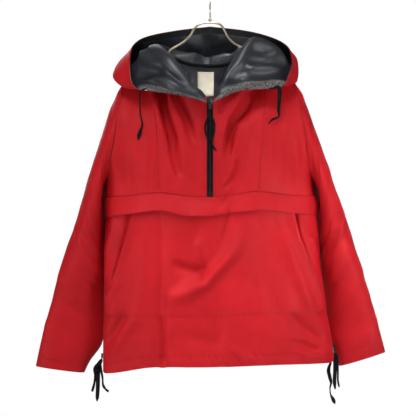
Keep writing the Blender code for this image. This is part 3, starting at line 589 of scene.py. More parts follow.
# Upper edge of front and back, by place across: shoulder seam outside, neckline inside
TOPS = Table(
    "across  front  back",
    (-100, -122, -122),
    (-84.5, -141, -124.5),
    (-69, -166, -130),
    (-53.5, -192, -136),
    (-38, -214, -140),
    (-22.5, -229, -142),
    (-7, -236, -142.5),
    (7, -236, -142.5),
    (22.5, -228, -141.5),
    (38, -212, -138),
    (53.5, -190, -134),
    (69, -164, -129),
    (84.5, -139, -123.5),
    (100, -120, -120),
)
# Height of the shoulder ridge, and of the crown it would make over the neck
RIDGE_ACROSS = (-200, -165, -127, -112, -98, -60, 0, 60, 96, 109, 127, 162, 195)
RIDGE_HEIGHT = (-186, -160.5, -133, -122, -106, -96, -92, -96, -105, -120, -133.5, -159.6, -184)

# Half depth of the body from its side plane to the front and to the back
DEPTHS = Table(
    "height  front  back",
    (-100, 94, 74),
    (-300, 95, 76),
    (-450, 93, 78),
    (-600, 86, 74),
    (-750, 76, 66),
    (-850, 70, 62),
)

# Largest folds: x, z of start and end, half width, height (a trough is negative)
FRONT_FOLDS = (
    (-115, -217, -85, -316, 10, -5),
    (-85, -316, -74, -403, 10, -5),
    (-74, -228, -41, -316, 9, -4),
    (80, -220, 40, -285, 10, -5),
    (40, -285, 37, -345, 9, -4),
    (62, -373, 34, -415, 8, -3),
    (-113, -684, -110, -822, 12, -6),
    (150, -700, 160, -822, 16, -4),
    (30, -640, 70, -700, 18, 4),
)
BACK_FOLDS = (
    (-95, -330, -105, -800, 24, -7),
    (20, -400, 35, -810, 28, 5),
    (110, -350, 125, -815, 24, -7),
    (-175, -480, -180, -815, 18, 5),
)

# Sleeves: outer and inner edge as seen from the front, their depth places, half depth
SLEEVE_COLUMNS = "share  outer_x outer_z inner_x inner_z  outer_y inner_y half_depth"
SLEEVES = {
    "left": Table(
        SLEEVE_COLUMNS,
        (0.00, -200, -186, -239, -417, 0, 0, 75),
        (0.06, -218, -216, -243.5, -426, 0, 3, 77),
        (0.12, -233, -257, -247, -444, 0, 9, 80),
        (0.20, -250, -312, -246.5, -472, 0, 22, 84),
        (0.35, -283, -413, -244, -530, 0, 38, 84),
        (0.50, -311.5, -515, -242, -600, 0, 44, 78),
        (0.62, -338, -588, -239, -655, 2, 48, 66),
        (0.75, -359, -661, -238, -715, 6, 50, 48),
        (0.88, -381, -745, -250, -785, 12, 36, 32),
        (0.95, -394, -800, -276, -825, 15, 27, 29),
        (1.00, -402, -837, -290, -852.5, 17, 23, 28),
    ),
    "right": Table(
        SLEEVE_COLUMNS,
        (0.00, 195, -184, 237, -417, 0, 0, 75),
        (0.06, 215, -216, 243.5, -426, 0, 3, 77),
        (0.12, 230, -257, 249, -444, 0, 9, 80),
        (0.20, 249, -312, 249.5, -470, 0, 20, 84),
        (0.35, 282.5, -410, 252.7, -530, 0, 38, 84),
        (0.50, 313.5, -497, 256.5, -600, 0, 44, 78),
        (0.62, 341, -585, 261, -655, 2, 48, 66),
        (0.75, 364.5, -660, 266, -712, 6, 50, 48),
        (0.88, 384.5, -728, 276, -770, 12, 36, 32),
        (0.95, 396.5, -775, 291, -811, 15, 27, 29),
        (1.00, 405, -804, 299, -837, 17, 23, 28),
    ),
}
# Sleeve folds: degrees round from the outer edge, their reach, share down the arm, its
# reach, height
SLEEVE_FOLDS = {
    "left": (
        (80, 50, 0.50, 0.035, -7),
        (130, 60, 0.58, 0.03, 5),
        (70, 55, 0.86, 0.03, -4),
    ),
    "right": (
        (95, 55, 0.46, 0.03, -7),
        (60, 50, 0.56, 0.035, 5),
        (80, 55, 0.88, 0.03, -4),
    ),
}

# Hood: places a thread passes on its way from the neck seam over the hood to its rim,
# for steps round the neck from the zip (0) by the side (6) to the centre of the back (13)
HOOD_COLUMNS = ("step  rise_x rise_y rise_z  bag_x bag_y bag_z"
                "  back_x back_y back_z  rim_x rim_y rim_z")
HOODS = {
    "left": Table(
        HOOD_COLUMNS,
        (0, -8, -95, -225, -10, -102, -221, -11, -107, -226, -9, -106, -233),
        (2, -50, -93, -199, -64, -101, -198, -76, -106, -206, -75, -104, -217),
        (4, -84, -76, -150, -112, -76, -164, -140, -75, -194, -138, -92, -209),
        (5, -102, -44, -122, -142, -42, -144, -183, -50, -198, -165, -82, -204),
        (6, -122, -8, -98, -160, -8, -130, -211, -24, -186, -181, -70, -179),
        (7, -112, 14, -98, -162, 25, -132, -224, 8, -166, -184, -46, -140),
        (8, -96, 36, -104, -142, 78, -170, -208, 58, -138, -181, -6, -105),
        (9, -78, 47, -108, -106, 98, -200, -172, 110, -140, -158, 44, -77.5),
        (11, -34, 55, -121, -52, 96, -215, -92, 150, -170, -84, 91, -56.5),
        (13, 0, 55, -126, 0, 94, -219, 0, 158, -174, 0, 108, -45),
    ),
    "right": Table(
        HOOD_COLUMNS,
        (0, 8, -95, -225, 10, -102, -221, 11, -107, -226, 9, -106, -232),
        (2, 28, -90, -196, 56, -94, -192, 74, -100, -200, 75, -104, -208),
        (4, 55, -68, -150, 100, -62, -166, 136, -72, -190, 140, -90, -203),
        (5, 72, -46, -119, 122, -34, -140, 180, -52, -188, 166, -80, -197),
        (6, 97, -22, -88, 148, -14, -112, 198, -22, -182, 180, -68, -170),
        (7, 97, 10, -94, 158, 16, -124, 203, 6, -156, 188, -44, -140),
        (8, 90, 38, -104, 134, 78, -168, 200, 54, -132, 183, -6, -106.5),
        (9, 74, 47, -108, 102, 98, -198, 168, 106, -138, 160, 44, -82),
        (11, 32, 55, -121, 50, 96, -215, 90, 150, -170, 84, 91, -56),
        (13, 0, 55, -126, 0, 94, -219, 0, 158, -174, 0, 108, -45),
    ),
}


def beside(x, z, start, end):
    """Share along a straight stroke at places beside it, and how far off they are."""
    dx, dz = end[0] - start[0], end[1] - start[1]
    x, z = x - start[0], z - start[1]
    along = np.clip((x * dx + z * dz) / (dx * dx + dz * dz), 0, 1)
    return along, x - along * dx, z - along * dz


def crease_height(x, z, creases):
    """Height of soft troughs and ridges: x, z of start and end, half width, height."""
    total = np.zeros(np.shape(x))
    for *ends, width, height in creases:
        _, off_x, off_z = beside(x, z, ends[:2], ends[2:])
        total += height * np.exp(-(np.hypot(off_x, off_z) / width) ** 2)
    return total


def armhole_depth(z, x, power=ARMHOLE_POWER):
    top = np.where(np.asarray(x) < 0, RIDGE_HEIGHT[0], RIDGE_HEIGHT[-1])
    middle = (top + UNDERARM) / 2
    along = (z - middle) / (top - middle)
    roof = 1 - np.exp(-np.maximum(0, top - z) / ARMHOLE_ROLL)
    return ARMHOLE_HALF * np.maximum(0, 1 - along * along) ** power * roof


def body_depth(x, z, face):
    """Place of the outer face front (negative) or back at points seen from the front."""
    left, right = SEAMS.at(z, "side_left"), SEAMS.at(z, "side_right")
    share = np.minimum(1.0, np.abs((x - (left + right) / 2) / ((right - left) / 2)))
    crown = (1 - share ** PLAN_POWER) ** (1 / PLAN_POWER)
    below = np.maximum(0.0, np.interp(x, RIDGE_ACROSS, RIDGE_HEIGHT) - z)
    roof = 1 - np.exp(-below / SHOULDER_ROLL)
    edge = (1 - crown) ** 4
    depth = DEPTHS.at(z, face) * roof * crown + armhole_depth(z, x) * edge
    depth += armhole_depth(z, x, BEHIND_POWER) * (1 - crown - edge)
    folds = FRONT_FOLDS if face == "front" else BACK_FOLDS
    depth += crease_height(x, z, folds) * crown * roof
    return -depth if face == "front" else depth


def body_columns():
    """Places of the columns across, where the rows' heights are read."""
    side, pocket, princess, neck, edge = ACROSS.values()
    half = [side + (pocket - side) * share for share in SIDE_COLUMNS]
    half += [pocket + (princess - pocket) * (i / 3) ** PRINCESS_POWER for i in range(3)]
    half += [princess, *np.linspace(neck, edge, (COLUMNS["zip"] - COLUMNS["neck"]) // FINE + 1)]
    return finer([-across for across in half] + [0.0] + half[::-1])


def column_places(across, z):
    """Places of the columns at each of their rows' heights."""
    names = list(ACROSS)[::-1]
    reading = [0.0] + [ACROSS[name] for name in names]
    places = np.empty_like(z)
    for j, a in enumerate(across):
        side = "left" if a < 0 else "right"
        marks = [0.0, SIDES[side] * ACROSS["zip"]]
        marks += [SEAMS.at(z[:, j], f"{name}_{side}") for name in names[1:]]
        k = max(i for i in range(len(names)) if reading[i] <= abs(a))
        t = (abs(a) - reading[k]) / (reading[k + 1] - reading[k])
        places[:, j] = marks[k] * (1 - t) + marks[k + 1] * t
    return places


def top_heights(across, face):
    """Heights of the upper edge over the columns."""
    reading = [ACROSS[name] for name in ("neck", "princess", "pocket", "side")]
    heights = []
    for a in across:
        inside = TOPS.at(np.clip(a, -ACROSS["neck"], ACROSS["neck"]), face)
        shoulder = RIDGE_HEIGHT[2::-1] if a < 0 else RIDGE_HEIGHT[-3:]
        heights.append(np.interp(abs(a), reading, (inside, *shoulder)))
    return np.array(heights)


def body_grid(face):
    """Smooth rows of places from the hem to the shoulder and neckline."""
    across = body_columns()
    hem, top = LEVELS.at(across, "hem"), top_heights(across, face)
    rows = [hem]
    for name, row in ROWS.items():
        if name in LEVELS.columns:
            goal = LEVELS.at(across, name)
        else:
            goal = {"casing": hem + HEM_CASING, "underarm": 0 * hem + UNDERARM, "top": top}[name]
        start, steps = rows[-1], row - len(rows) + 1
        for i in range(1, steps + 1):
            share = (1 - math.cos(math.pi * i / steps)) / 2 if name == "top" else i / steps
            rows.append(start + (goal - start) * share)
    z = np.array(rows)
    x = column_places(across, z)
    y = body_depth(x, z, face)
    y[-1, np.abs(across) >= ACROSS["neck"]] = 0.0
    return np.stack([x, y, z], axis=-1)


def round_folds(turn, share, folds, slant=0.0):
    """Height of a sleeve's folds, which may slant down the arm as they go round it."""
    total = np.zeros(np.broadcast_shapes(np.shape(turn), np.shape(share)))
    for around, reach, at, length, height in folds:
        off = (turn - around + 180) % 360 - 180
        down = share - (at + slant * np.sin(np.radians(off)))
        total += height * np.exp(-(off / reach) ** 2 - (down / length) ** 2)
    return total


def sleeve_grid(side, front, back):
    """Smooth rings from the armhole to the cuff, each from the outer edge round the front."""
    edge = 0 if side == "left" else -1
    first = ROWS["underarm"]
    armhole = np.concatenate([front[:first - 1:-1, edge], back[first + 1:-1, edge]])
    count = len(armhole)
    table = SLEEVES[side]
    turn = 2 * math.pi * np.arange(count) / count

    def ring(share):
        outer, inner = table.place(share, "outer"), table.place(share, "inner")
        lift = round_folds(np.degrees(turn), share, SLEEVE_FOLDS[side])
        points = (outer + inner) / 2 + np.outer(np.cos(turn), (outer - inner) / 2)
        points[:, 1] -= (table.at(share, "half_depth") + lift) * np.sin(turn)
        return points

    seam = armhole - ring(0.0)
    shares = np.linspace(0, 1, SLEEVE_ROWS * FINE + 1)
    rings = [ring(share) + seam * max(0.0, 1 - share / SLEEVE_BLEND) ** 2 for share in shares]
    return np.array([armhole] + rings[1:])


def neck_line(side, front, back):
    """Neckline of one side, from the zip round to the centre of the back."""
    if side == "right":
        front, back = front[:, ::-1], back[:, ::-1]
    neck = COLUMNS["neck"]
    return np.concatenate([front[-1, COLUMNS["zip"]:neck - 1:-1],
                           back[-1, neck + 1:COLUMNS["centre"] + 1]])


def hood_grid(side, neck):
    """Smooth rows from the neck seam to the rim, each from the zip to the centre back."""
    table = HOODS[side]
    threads = []
    for k, start in enumerate(neck):
        step = min(HOOD_STEPS, k / FINE)
        places = np.array([start] + [table.place(step, name) for name in HOOD_POINTS])
        edge = FACING_WIDTH / np.linalg.norm(places[-1] - places[-2])
        marks = finer([*HOOD_MARKS, 4 - min(FACING_MOST, edge), 4])
        threads.append([start] + [thread_point(places, mark) for mark in marks[1:]])
    return np.array(threads).transpose(1, 0, 2)


def grid_normals(grid, sign, closed=False):
    """Outward normals of a grid; closed wraps its columns."""
    if closed:
        wide = np.concatenate([grid[:, -1:], grid, grid[:, :1]], axis=1)
        across = (wide[:, 2:] - wide[:, :-2]) / 2
    else:
        across = np.gradient(grid, axis=1)
    return unit(np.cross(across, np.gradient(grid, axis=0)) * sign)


# ---------------------------------------------------------------- shells, stitches and folds

SHELL = 1.0           # wall of a shell of cloth
LINING_SHELL = 0.8
LINING_DEPTH = 1.6    # how far inside the shell's outer face the lining lies
ROLL = 2.0            # width of a seam's rolled edge, and how far it turns down
DROP = 0.8
SEAM_HALF = 0.15
WAVE_COUNT = 9        # plane waves that make the cloth uneven, and the spread of their length
WAVE_SPREAD = (0.7, 1.6)
STITCH = dict(length=2.7, pitch=3.6, width=0.7, height=0.35, lift=0.2, sunk=0.3)
# Sections of one stitch: share along it, share of its height and of its width
ARCH = ((0.0, -0.3, 0.6), (0.5, 1.0, 1.0), (1.0, -0.3, 0.6))


def crumple(x, z, size, height, seed):
    """Gentle unevenness: a few plane waves in seeded directions."""
    made = np.random.default_rng(seed)
    total = np.zeros(np.broadcast_shapes(np.shape(x), np.shape(z)))
    for _ in range(WAVE_COUNT):
        turn, phase = made.uniform(0, 2 * math.pi, 2)
        length = size * made.uniform(*WAVE_SPREAD)
        total += np.sin(2 * math.pi * (x * math.cos(turn) + z * math.sin(turn)) / length + phase)
    return total * height / 3


def edge_fade(shape, rows=(0, 0), columns=(0, 0)):
    """1 over a grid, falling to 0 over some lines at its first and last rows and columns."""
    fade = np.ones(shape)
    for axis, reaches in enumerate((rows, columns)):
        index = np.arange(shape[axis])
        share = np.ones(shape[axis])
        for away, reach in zip((index, index[::-1]), reaches):
            if reach:
                share *= np.clip(away / reach, 0, 1)
        fade *= ease(share)[:, None] if axis == 0 else ease(share)
    return fade


def pucker(across, along, height, reach=9.0, length=13.0):
    """Small ripples square to a seam, dying away from it."""
    ripple = np.sin(2 * math.pi * (along + 0.6 * across) / length + 2.2 * np.sin(along / 29.0))
    uneven = 0.65 + 0.35 * np.sin(along / 41.0 + 1.3) * np.sin(along / 17.0)
    return height * uneven * ripple * np.exp(-(across / reach) ** 2)


def rolled(grid, normals, edges):
    """Add lines beside seamed edges, and how far each place turns down into its seam."""
    layers = [grid, normals, np.zeros(grid.shape[:2])]
    for edge in edges:
        axis, turned = (0 if edge in "bt" else 1), edge in "tr"
        if turned:
            layers = [np.flip(layer, axis) for layer in layers]
        (first, near, fall), (second, far, _) = ([np.take(layer, [k], axis) for layer in layers]
                                                 for k in (0, 1))
        step = second - first
        length = np.maximum(np.linalg.norm(step, axis=-1, keepdims=True), 1e-6)
        strips = []
        for reach, drop in ((SEAM_HALF, DROP), (0.4 * ROLL, 0.3 * DROP), (ROLL, 0.0)):
            share = np.minimum(0.7, reach / length)
            strips.append((first + step * share, near * (1 - share) + far * share,
                           np.maximum(fall, drop)))
        layers = [np.concatenate([*made, np.delete(layer, 0, axis)], axis)
                  for made, layer in zip(zip(*strips), layers)]
        if turned:
            layers = [np.flip(layer, axis) for layer in layers]
    return layers


def shell(name, nodes, grid, normals, sign, finish, wall=SHELL, depth=0.0, edges="lrbt",
          closed=False):
    """A panel of cloth as a thin closed shell; its normals point away from its outer side."""
    grid, normals, drop = rolled(grid - normals * depth, normals, edges)
    rows, columns = grid.shape[:2]
    span = columns if closed else columns - 1
    cloth = np.zeros((rows, columns, 2))
    cloth[:, 1:, 0] = np.cumsum(np.linalg.norm(np.diff(grid, axis=1), axis=2), axis=1)
    cloth[:, :, 0] -= cloth[:, columns // 2:columns // 2 + 1, 0]
    cloth[1:, :, 1] = np.cumsum(np.linalg.norm(np.diff(grid, axis=0), axis=2), axis=0)
    faces = []

    def add(flip, *corners):
        face = [(layer * rows + i) * columns + j % columns for i, j, layer in corners]
        faces.append(tuple(face[::-1] if flip else face))

    for i in range(rows - 1):
        for j in range(span):
            for layer, flip in ((0, sign < 0), (1, sign > 0)):
                add(flip, (i, j, layer), (i, j + 1, layer), (i + 1, j + 1, layer),
                    (i + 1, j, layer))
    for i, flip in ((0, sign > 0), (rows - 1, sign < 0)):
        for j in range(span):
            add(flip, (i, j, 0), (i, j + 1, 0), (i, j + 1, 1), (i, j, 1))
    sides = () if closed else ((0, sign < 0), (columns - 1, sign > 0))
    for j, flip in sides:
        for i in range(rows - 1):
            add(flip, (i, j, 0), (i + 1, j, 0), (i + 1, j, 1), (i, j, 1))
    layers = [grid - normals * drop[..., None], grid - normals * wall]
    mesh = make_mesh(name, np.reshape(layers, (-1, 3)), faces, np.reshape([cloth] * 2, (-1, 2)))
    piece = add_piece(name, mesh, finish, nodes[0], *nodes)


def lines_beside(grid, normals, *edges):
    """Lines just over a grid, for rows (axis 0) or columns (axis 1) and distances beside them."""
    lines = []
    for axis, index, *distances in edges:
        line, way, up = (np.take(values, index, axis)
                         for values in (grid, np.gradient(grid, axis=axis), normals))
        lines += [(line + unit(way) * away + up * STITCH["lift"], up) for away in distances]
    return lines


def sew(name, slot, lines, finish):
    """Rows of arched stitches along lines of (places, normals) that lie on the cloth."""
    places, faces = [], []
    for line, normals in lines:
        run = run_of(line)
        starts = np.arange(1.0, run[-1] - STITCH["pitch"], STITCH["pitch"])
        here = read_along(starts, run, line)
        way = read_along(starts + STITCH["length"], run, line) - here
        up = unit(read_along(starts, run, normals))
        side = unit(np.cross(way, up)) * STITCH["width"] / 2
        for k in range(len(starts)):
            faces += tube(len(ARCH), 4, len(places))
            for share, rise, wide in ARCH:
                middle = here[k] + way[k] * share
                top = middle + up[k] * STITCH["height"] * rise
                low = middle - up[k] * STITCH["sunk"]
                places += [low + side[k] * wide, top + side[k] * 0.5 * wide,
                           top - side[k] * 0.5 * wide, low - side[k] * wide]
    add_piece(name, make_mesh(name, places, faces), finish, slot)


# ---------------------------------------------------------------- the garment's pieces

# Folds on the front and the back: half width, height (a trough is negative), lean (how much
# the cloth rises beside it, on its left seen along it), and the x, z that it passes
FRONT_CREASES = (
    (9, -18, -0.8, (-124, -146), (-115, -212), (-110, -247), (-101, -279), (-90, -313),
     (-83, -353)),
    (9, -8, -0.6, (-90, -302), (-87, -343), (-83, -371), (-71, -394), (-48, -408)),
    (10, -14, -0.7, (-101, -146), (-78, -217), (-62, -254), (-48, -288), (-39, -332)),
    (7, 4, 0, (-101, -205), (-90, -251), (-76, -302), (-69, -357)),
    (5.5, -5, 0, (-14, -297), (-16, -339), (-21, -376)),
    (12, 4, 0, (-55, -320), (-55, -353), (-60, -380)),
    (15, -20, -0.8, (115, -127), (97, -201), (78, -240), (48, -279)),
    (8, -16, -0.9, (83, -233), (48, -274), (39, -307), (37, -362)),
    (9, 4, 0, (51, -215), (32, -247), (21, -293), (21, -339)),
    (5, -8, -0.8, (60, -348), (57, -385), (46, -410), (28, -431)),
    (10, 4, 0, (87, -293), (83, -339), (78, -399)),
    (7, -5, 0.3, (140, -261), (140, -316), (140, -371)),
    (14, -5, 0, (-189, -247), (-191, -339), (-184, -465)),
    (10, -6, 0.4, (195, -293), (200, -362), (202, -445)),
    (10, 4, 0, (-147, -270), (-143, -339), (-145, -435)),
    (11, 3.5, 0, (172, -247), (175, -339), (179, -445)),
    (6.5, -5, 0.5, (55, -426), (39, -447), (23, -472)),
    (12, -7, 0, (-113, -468), (-108, -569), (-108, -661), (-110, -744)),
    (6, -7, -0.3, (-124, -702), (-110, -739), (-108, -780), (-110, -849)),
    (15, 15, 0, (87, -514), (60, -564), (28, -601), (-9, -642), (-55, -665), (-110, -681)),
    (13, -13, 0.3, (-97, -596), (-55, -610), (-23, -615), (0, -601)),
    (4.5, -5.4, 0, (-37, -612), (-16, -612), (-2, -601)),
    (12, 6.8, 0, (-23, -537), (-18, -569), (-16, -596)),
    (7, -9.5, 0, (44, -468), (39, -504), (25, -550)),
    (11, 9.5, 0, (152, -481), (172, -550), (191, -601), (209, -649), (230, -702), (267, -771)),
    (9, -6.8, -0.4, (120, -638), (138, -684), (161, -734)),
    (8, -10.8, 0.5, (184, -707), (216, -741), (262, -780)),
    (7, -9.5, 0.5, (175, -773), (214, -780), (262, -803)),
    (9, 6.8, 0, (198, -799), (235, -808), (281, -803)),
    (8, -10.8, 0.5, (-184, -702), (-212, -746), (-239, -790)),
    (8, 6.8, 0, (-202, -638), (-221, -665), (-239, -693)),
    (10, 6.8, 0, (-161, -716), (-198, -762), (-228, -813)),
    (8, 6, 0, (-218, -477), (-225, -537), (-241, -601)),
    (7, 7, 0, (225, -541), (246, -587)),
    (18, -8.1, 0, (-60, -762), (-14, -776), (41, -787)),
    (11, 6.8, 0, (37, -785), (60, -799), (87, -826)),
    (10, -6.8, 0.4, (28, -679), (32, -753), (16, -803)),
    (13, 6.1, 0, (-147, -537), (-152, -638), (-163, -716)),
)
BACK_CREASES = (
    (16, -4.5, 0.6, (-92, -240), (-104, -420), (-112, -620)),
    (16, -4.5, -0.6, (98, -250), (110, -430), (120, -650)),
    (22, 3.0, 0, (8, -280), (20, -420), (24, -580)),
    (14, -4.0, 0.6, (-38, -590), (-46, -700), (-52, -830)),
    (15, 3.5, 0, (58, -560), (70, -690), (76, -826)),
    (12, 3.0, 0, (-148, -420), (-160, -620), (-168, -826)),
    (12, -3.0, 0.5, (168, -430), (174, -620), (180, -826)),
    (10, -3.0, 0.6, (-56, -186), (-90, -214), (-130, -240)),
    (10, -3.0, -0.6, (58, -184), (92, -212), (132, -244)),
    (9, -2.5, 0.5, (-200, -470), (-150, -500), (-100, -508)),
    (9, -2.5, -0.5, (205, -480), (150, -516), (104, -520)),
)
# Creases round the sleeves: degrees round, their reach, share down the arm, its reach, height
SLEEVE_CREASES = {
    "left": (
        (60, 70, 0.10, 0.020, -3), (120, 60, 0.17, 0.022, -4), (70, 60, 0.30, 0.025, 3),
        (100, 45, 0.44, 0.016, -4), (70, 55, 0.53, 0.016, 4), (110, 50, 0.64, 0.018, -4),
        (60, 50, 0.72, 0.018, 3), (95, 60, 0.80, 0.015, -3.5), (50, 45, 0.90, 0.014, 3),
        (240, 60, 0.25, 0.022, -4), (270, 60, 0.47, 0.020, -5), (230, 60, 0.60, 0.020, 4),
        (290, 60, 0.75, 0.020, -4), (250, 50, 0.88, 0.018, 3),
    ),
    "right": (
        (60, 70, 0.11, 0.020, -3), (120, 60, 0.19, 0.022, -4), (70, 60, 0.33, 0.025, 3),
        (105, 45, 0.42, 0.016, -4), (75, 55, 0.51, 0.016, 4), (100, 50, 0.62, 0.018, -4),
        (60, 50, 0.70, 0.018, 3), (90, 60, 0.83, 0.015, -3.5), (50, 45, 0.91, 0.014, 3),
        (240, 60, 0.27, 0.022, -4), (270, 60, 0.49, 0.020, -5), (230, 60, 0.62, 0.020, 4),
        (290, 60, 0.77, 0.020, -4), (250, 50, 0.89, 0.018, 3),
    ),
}
# Folds of the lining where it faces forward, in the same way
LINING_CREASES = (
    (9, 15, -0.4, (-140, -77), (-154, -100), (-152, -123), (-143, -150)),
    (5, -9, 0, (-138, -86), (-140, -113), (-138, -141)),
    (6, 9, 0, (-154, -141), (-129, -148), (-99, -150)),
    (8, 15, -0.5, (-145, -104), (-115, -129), (-94, -150), (-74, -175), (-46, -212)),
    (11, 6, 0, (-129, -146), (-92, -169), (-69, -196)),
    (14, -12, 0, (-166, -169), (-131, -171), (-92, -166)),
    (7, 10, -0.4, (-147, -185), (-115, -185), (-92, -196), (-46, -219)),
    (6, -8, 0, (-97, -169), (-69, -192), (-51, -215)),
    (6, 7, 0, (-184, -120), (-166, -109), (-152, -90)),
    (6, 6, 0, (-143, -83), (-115, -77), (-85, -72)),
    (12, -8, 0, (-138, -100), (-110, -97), (-83, -93)),
    (6, -7, 0, (-85, -67), (-83, -95)),
    (28, 9, 0, (-5, -67), (-5, -118)),
    (13, -12, 0, (5, -123), (34, -106), (74, -113)),
    (13, -9, 0, (-106, -118), (-69, -109), (-34, -120)),
    (9, 14, 0.3, (-78, -132), (-51, -125), (-23, -134)),
    (8, 13, 0.3, (0, -136), (37, -127), (83, -125)),
    (9, -10, 0, (-12, -104), (-12, -146)),
    (9, 13, 0.4, (94, -81), (80, -109), (69, -132), (46, -169)),
    (8, 11, -0.4, (87, -86), (120, -102), (143, -109), (159, -132), (182, -152)),
    (5, -11, 0, (69, -141), (97, -146), (133, -146), (177, -150)),
    (6, 12, 0, (69, -146), (92, -162), (120, -159), (147, -155), (184, -148)),
    (11, -14, 0, (28, -192), (69, -178), (120, -178), (170, -166)),
    (4.5, -5, 0, (94, -106), (120, -118), (145, -125)),
    (9, 8, 0, (74, -132), (51, -159), (23, -187)),
    (7, 5, 0, (110, -127), (133, -134), (161, -141)),
)
# Where the hood's facing meets its lining: step round the hood, mark across it
FACING_FROM = {
    "left": ((0, 9.0), (1, 8.9), (2, 8.8), (3, 9.0), (4, 9.6), (5, 10)),
    "right": ((0, 8.2), (1, 7.6), (2, 7.0), (3, 7.0), (4, 7.6), (5, 8.8), (6, 9.3), (7, 8.8),
              (8, 8.4), (9, 9.2), (10, 10)),
}
# How far the flap's loose lower edge stands off the front: x, distance
FLAP_STANDS = ((-235, 1), (-190, 5), (-160, 12), (-120, 10), (-85, 12), (-66, 7), (-45, 14),
               (-18, 12), (10, 5), (36, 5), (62, 13), (84, 11), (110, 7), (160, 7), (200, 5),
               (240, 1))

# Unevenness of the cloth: size of its waves, height and the seed of its random draws
WAVES = {
    "front": ((95, 1.6, 3), (38, 0.6, 4)),
    "back": ((110, 1.4, 8), (38, 0.3, 9)),
    "left": ((80, 0.7, 21),),
    "right": ((80, 0.7, 22),),
    "lining": ((50, 1.2, 31),),
}
# Small ripples beside the front's cross seams: the seam, their height and length
PUCKERS = (("flap_top", 0.45, 13), ("flap_foot", 0.45, 13), ("pocket_foot", 0.6, 13),
           ("casing", 1.1, 17))
UPPER_PUCKER = 0.5
BACK_PUCKER = 0.45
CASING_MIDDLE = 9               # below its seam
CASING_RIPPLE = (2.6, 13, 44)   # height, reach and length
CASING_DIP = 1.4                # how deep its seam sinks, and over how far
CASING_DIP_REACH = 4

FOLD_FADE = 0.3                 # share of a fold over which it dies at each end
FOLD_LEFT = 0.15                # share of its height that is left there
SLEEVE_SLANT = 0.04             # how far round folds slant, as a share of the sleeve
SLEEVE_CLOTH = (1.3, 640)       # millimetres for a degree round, and for the sleeve's length
# Where a sleeve lies on the body: how far it is pressed off, the depth and height of the
# place, its reach both ways, and the place across where it ends
PRESSED = 9
PRESSED_AT = (34, -505)
PRESSED_REACH = (20, 115)
PRESSED_EDGE = 262

LINING_STANDS = 12              # how far the lining stands in, and the most with its creases
LINING_MOST = 21
LINING_FOLD = 1.6               # times its creases' heights
LINING_EDGE = (188, 40)         # place across where it begins to stand in, and over how far
POCKET_PUFF = 2.2
POCKET_GAPES = (6, 10)          # at its left and right openings
POCKET_SINKS = 14               # how far the front sinks there
FLAP_CLEAR = 1.7
FLAP_BULGE = 1.6
LAID_OVER = 1.5                 # how far over the front the pocket and the flap lie
LABEL_ROWS = (20.0, 21.72, 15)  # first, last and count, in lines of the back's pattern
LABEL_COLUMNS = (11.74, 15.11, 13)
LABEL_WALL = 0.7
LABEL_DEPTH = 3.0
NECK_LINING_ROWS = 5
# Stitch lines: along a row (0) or a column (1), which one, and the distances beside it
STITCH_LINES = {
    "uppers": ((1, COLUMNS["princess"], -3.2), (1, mirrored("princess"), 3.2),
               (1, COLUMNS["zip"], -3.5, -7.5), (1, mirrored("zip"), 3.5, 7.5)),
    "hem": ((0, ROWS["casing"], 0, 3.5),),
    "pocket": ((1, 0, 3, 9), (1, -1, -3, -9), (0, 0, 3, 7.5)),
    "flap": ((0, 0, 4), (0, -1, -3, -7.5)),
    "label": ((0, 0, 2.5), (0, -1, -2.5)),
    "sleeve": ((0, -1, -20, -23.5), (0, 0, 3.2)),
    "hood": ((0, -1, -5, -15), (1, -1, -3.2)),
}


def fold_height(x, z, folds):
    """Height of crisp folds with a rise beside them, dying at both ends."""
    total = np.zeros(np.shape(x))
    for width, height, lean, *places in folds:
        spans = [math.dist(a, b) for a, b in zip(places, places[1:])]
        nearest, side, share = np.full(total.shape, 1e9), 0 * total, 0 * total
        for k, (start, end) in enumerate(zip(places, places[1:])):
            along, off_x, off_z = beside(x, z, start, end)
            away = np.hypot(off_x, off_z)
            closer = away < nearest
            nearest = np.where(closer, away, nearest)
            turned = (end[0] - start[0]) * off_z - (end[1] - start[1]) * off_x
            side = np.where(closer, np.sign(turned), side)
            share = np.where(closer, (sum(spans[:k]) + along * spans[k]) / sum(spans), share)
        nearest = nearest / width
        core = np.exp(-nearest ** min(1.2 + 0.06 * width, 2.0))
        rise = lean * side * nearest * np.exp(-(nearest / 1.5) ** 2)
        ends = ease(np.clip(np.minimum(share, 1 - share) / FOLD_FADE, 0, 1))
        total += height * (core - rise) * (FOLD_LEFT + (1 - FOLD_LEFT) * ends)
    return total


def unevenness(x, z, name):
    return sum(crumple(x, z, *wave) for wave in WAVES[name])


def raised(grid, normals, height, *fade):
    """A grid moved out by a height that fades at its edges."""
    return grid + normals * (height * edge_fade(height.shape, *fade))[..., None]


def soften_underarm(grid):
    """Spread the bend above the underarm over some rows, but for the edges."""
    band = grid[ROWS["underarm"] - FINE:ROWS["underarm"] + 3 * FINE]
    index = np.arange(grid.shape[1])
    share = np.clip(np.minimum(index, index[::-1]) / 4, 0, 1)[None, :, None]
    for _ in range(60):
        band[1:-1] += 0.25 * share * (band[:-2] + band[2:] - 2 * band[1:-1])
    return grid


def detail_front(grid, normals):
    x, z = grid[..., 0], grid[..., 2]
    height = fold_height(x, z, FRONT_CREASES) + unevenness(x, z, "front")
    upper = slice(ROWS["flap_top"], None)
    for column in (COLUMNS["princess"], mirrored("princess"), COLUMNS["zip"], mirrored("zip")):
        height[upper] += pucker(x[upper] - x[upper, column:column + 1], z[upper],
                                UPPER_PUCKER)
    for seam, tall, length in PUCKERS:
        height += pucker(z - z[ROWS[seam]], x, tall, 0.7 * length, length)
    over = z - z[ROWS["casing"]]
    height += pucker(over + CASING_MIDDLE, x, *CASING_RIPPLE)
    height -= CASING_DIP * np.exp(-(over / CASING_DIP_REACH) ** 2)
    return raised(grid, normals, height, (0, 3), (4, 4))


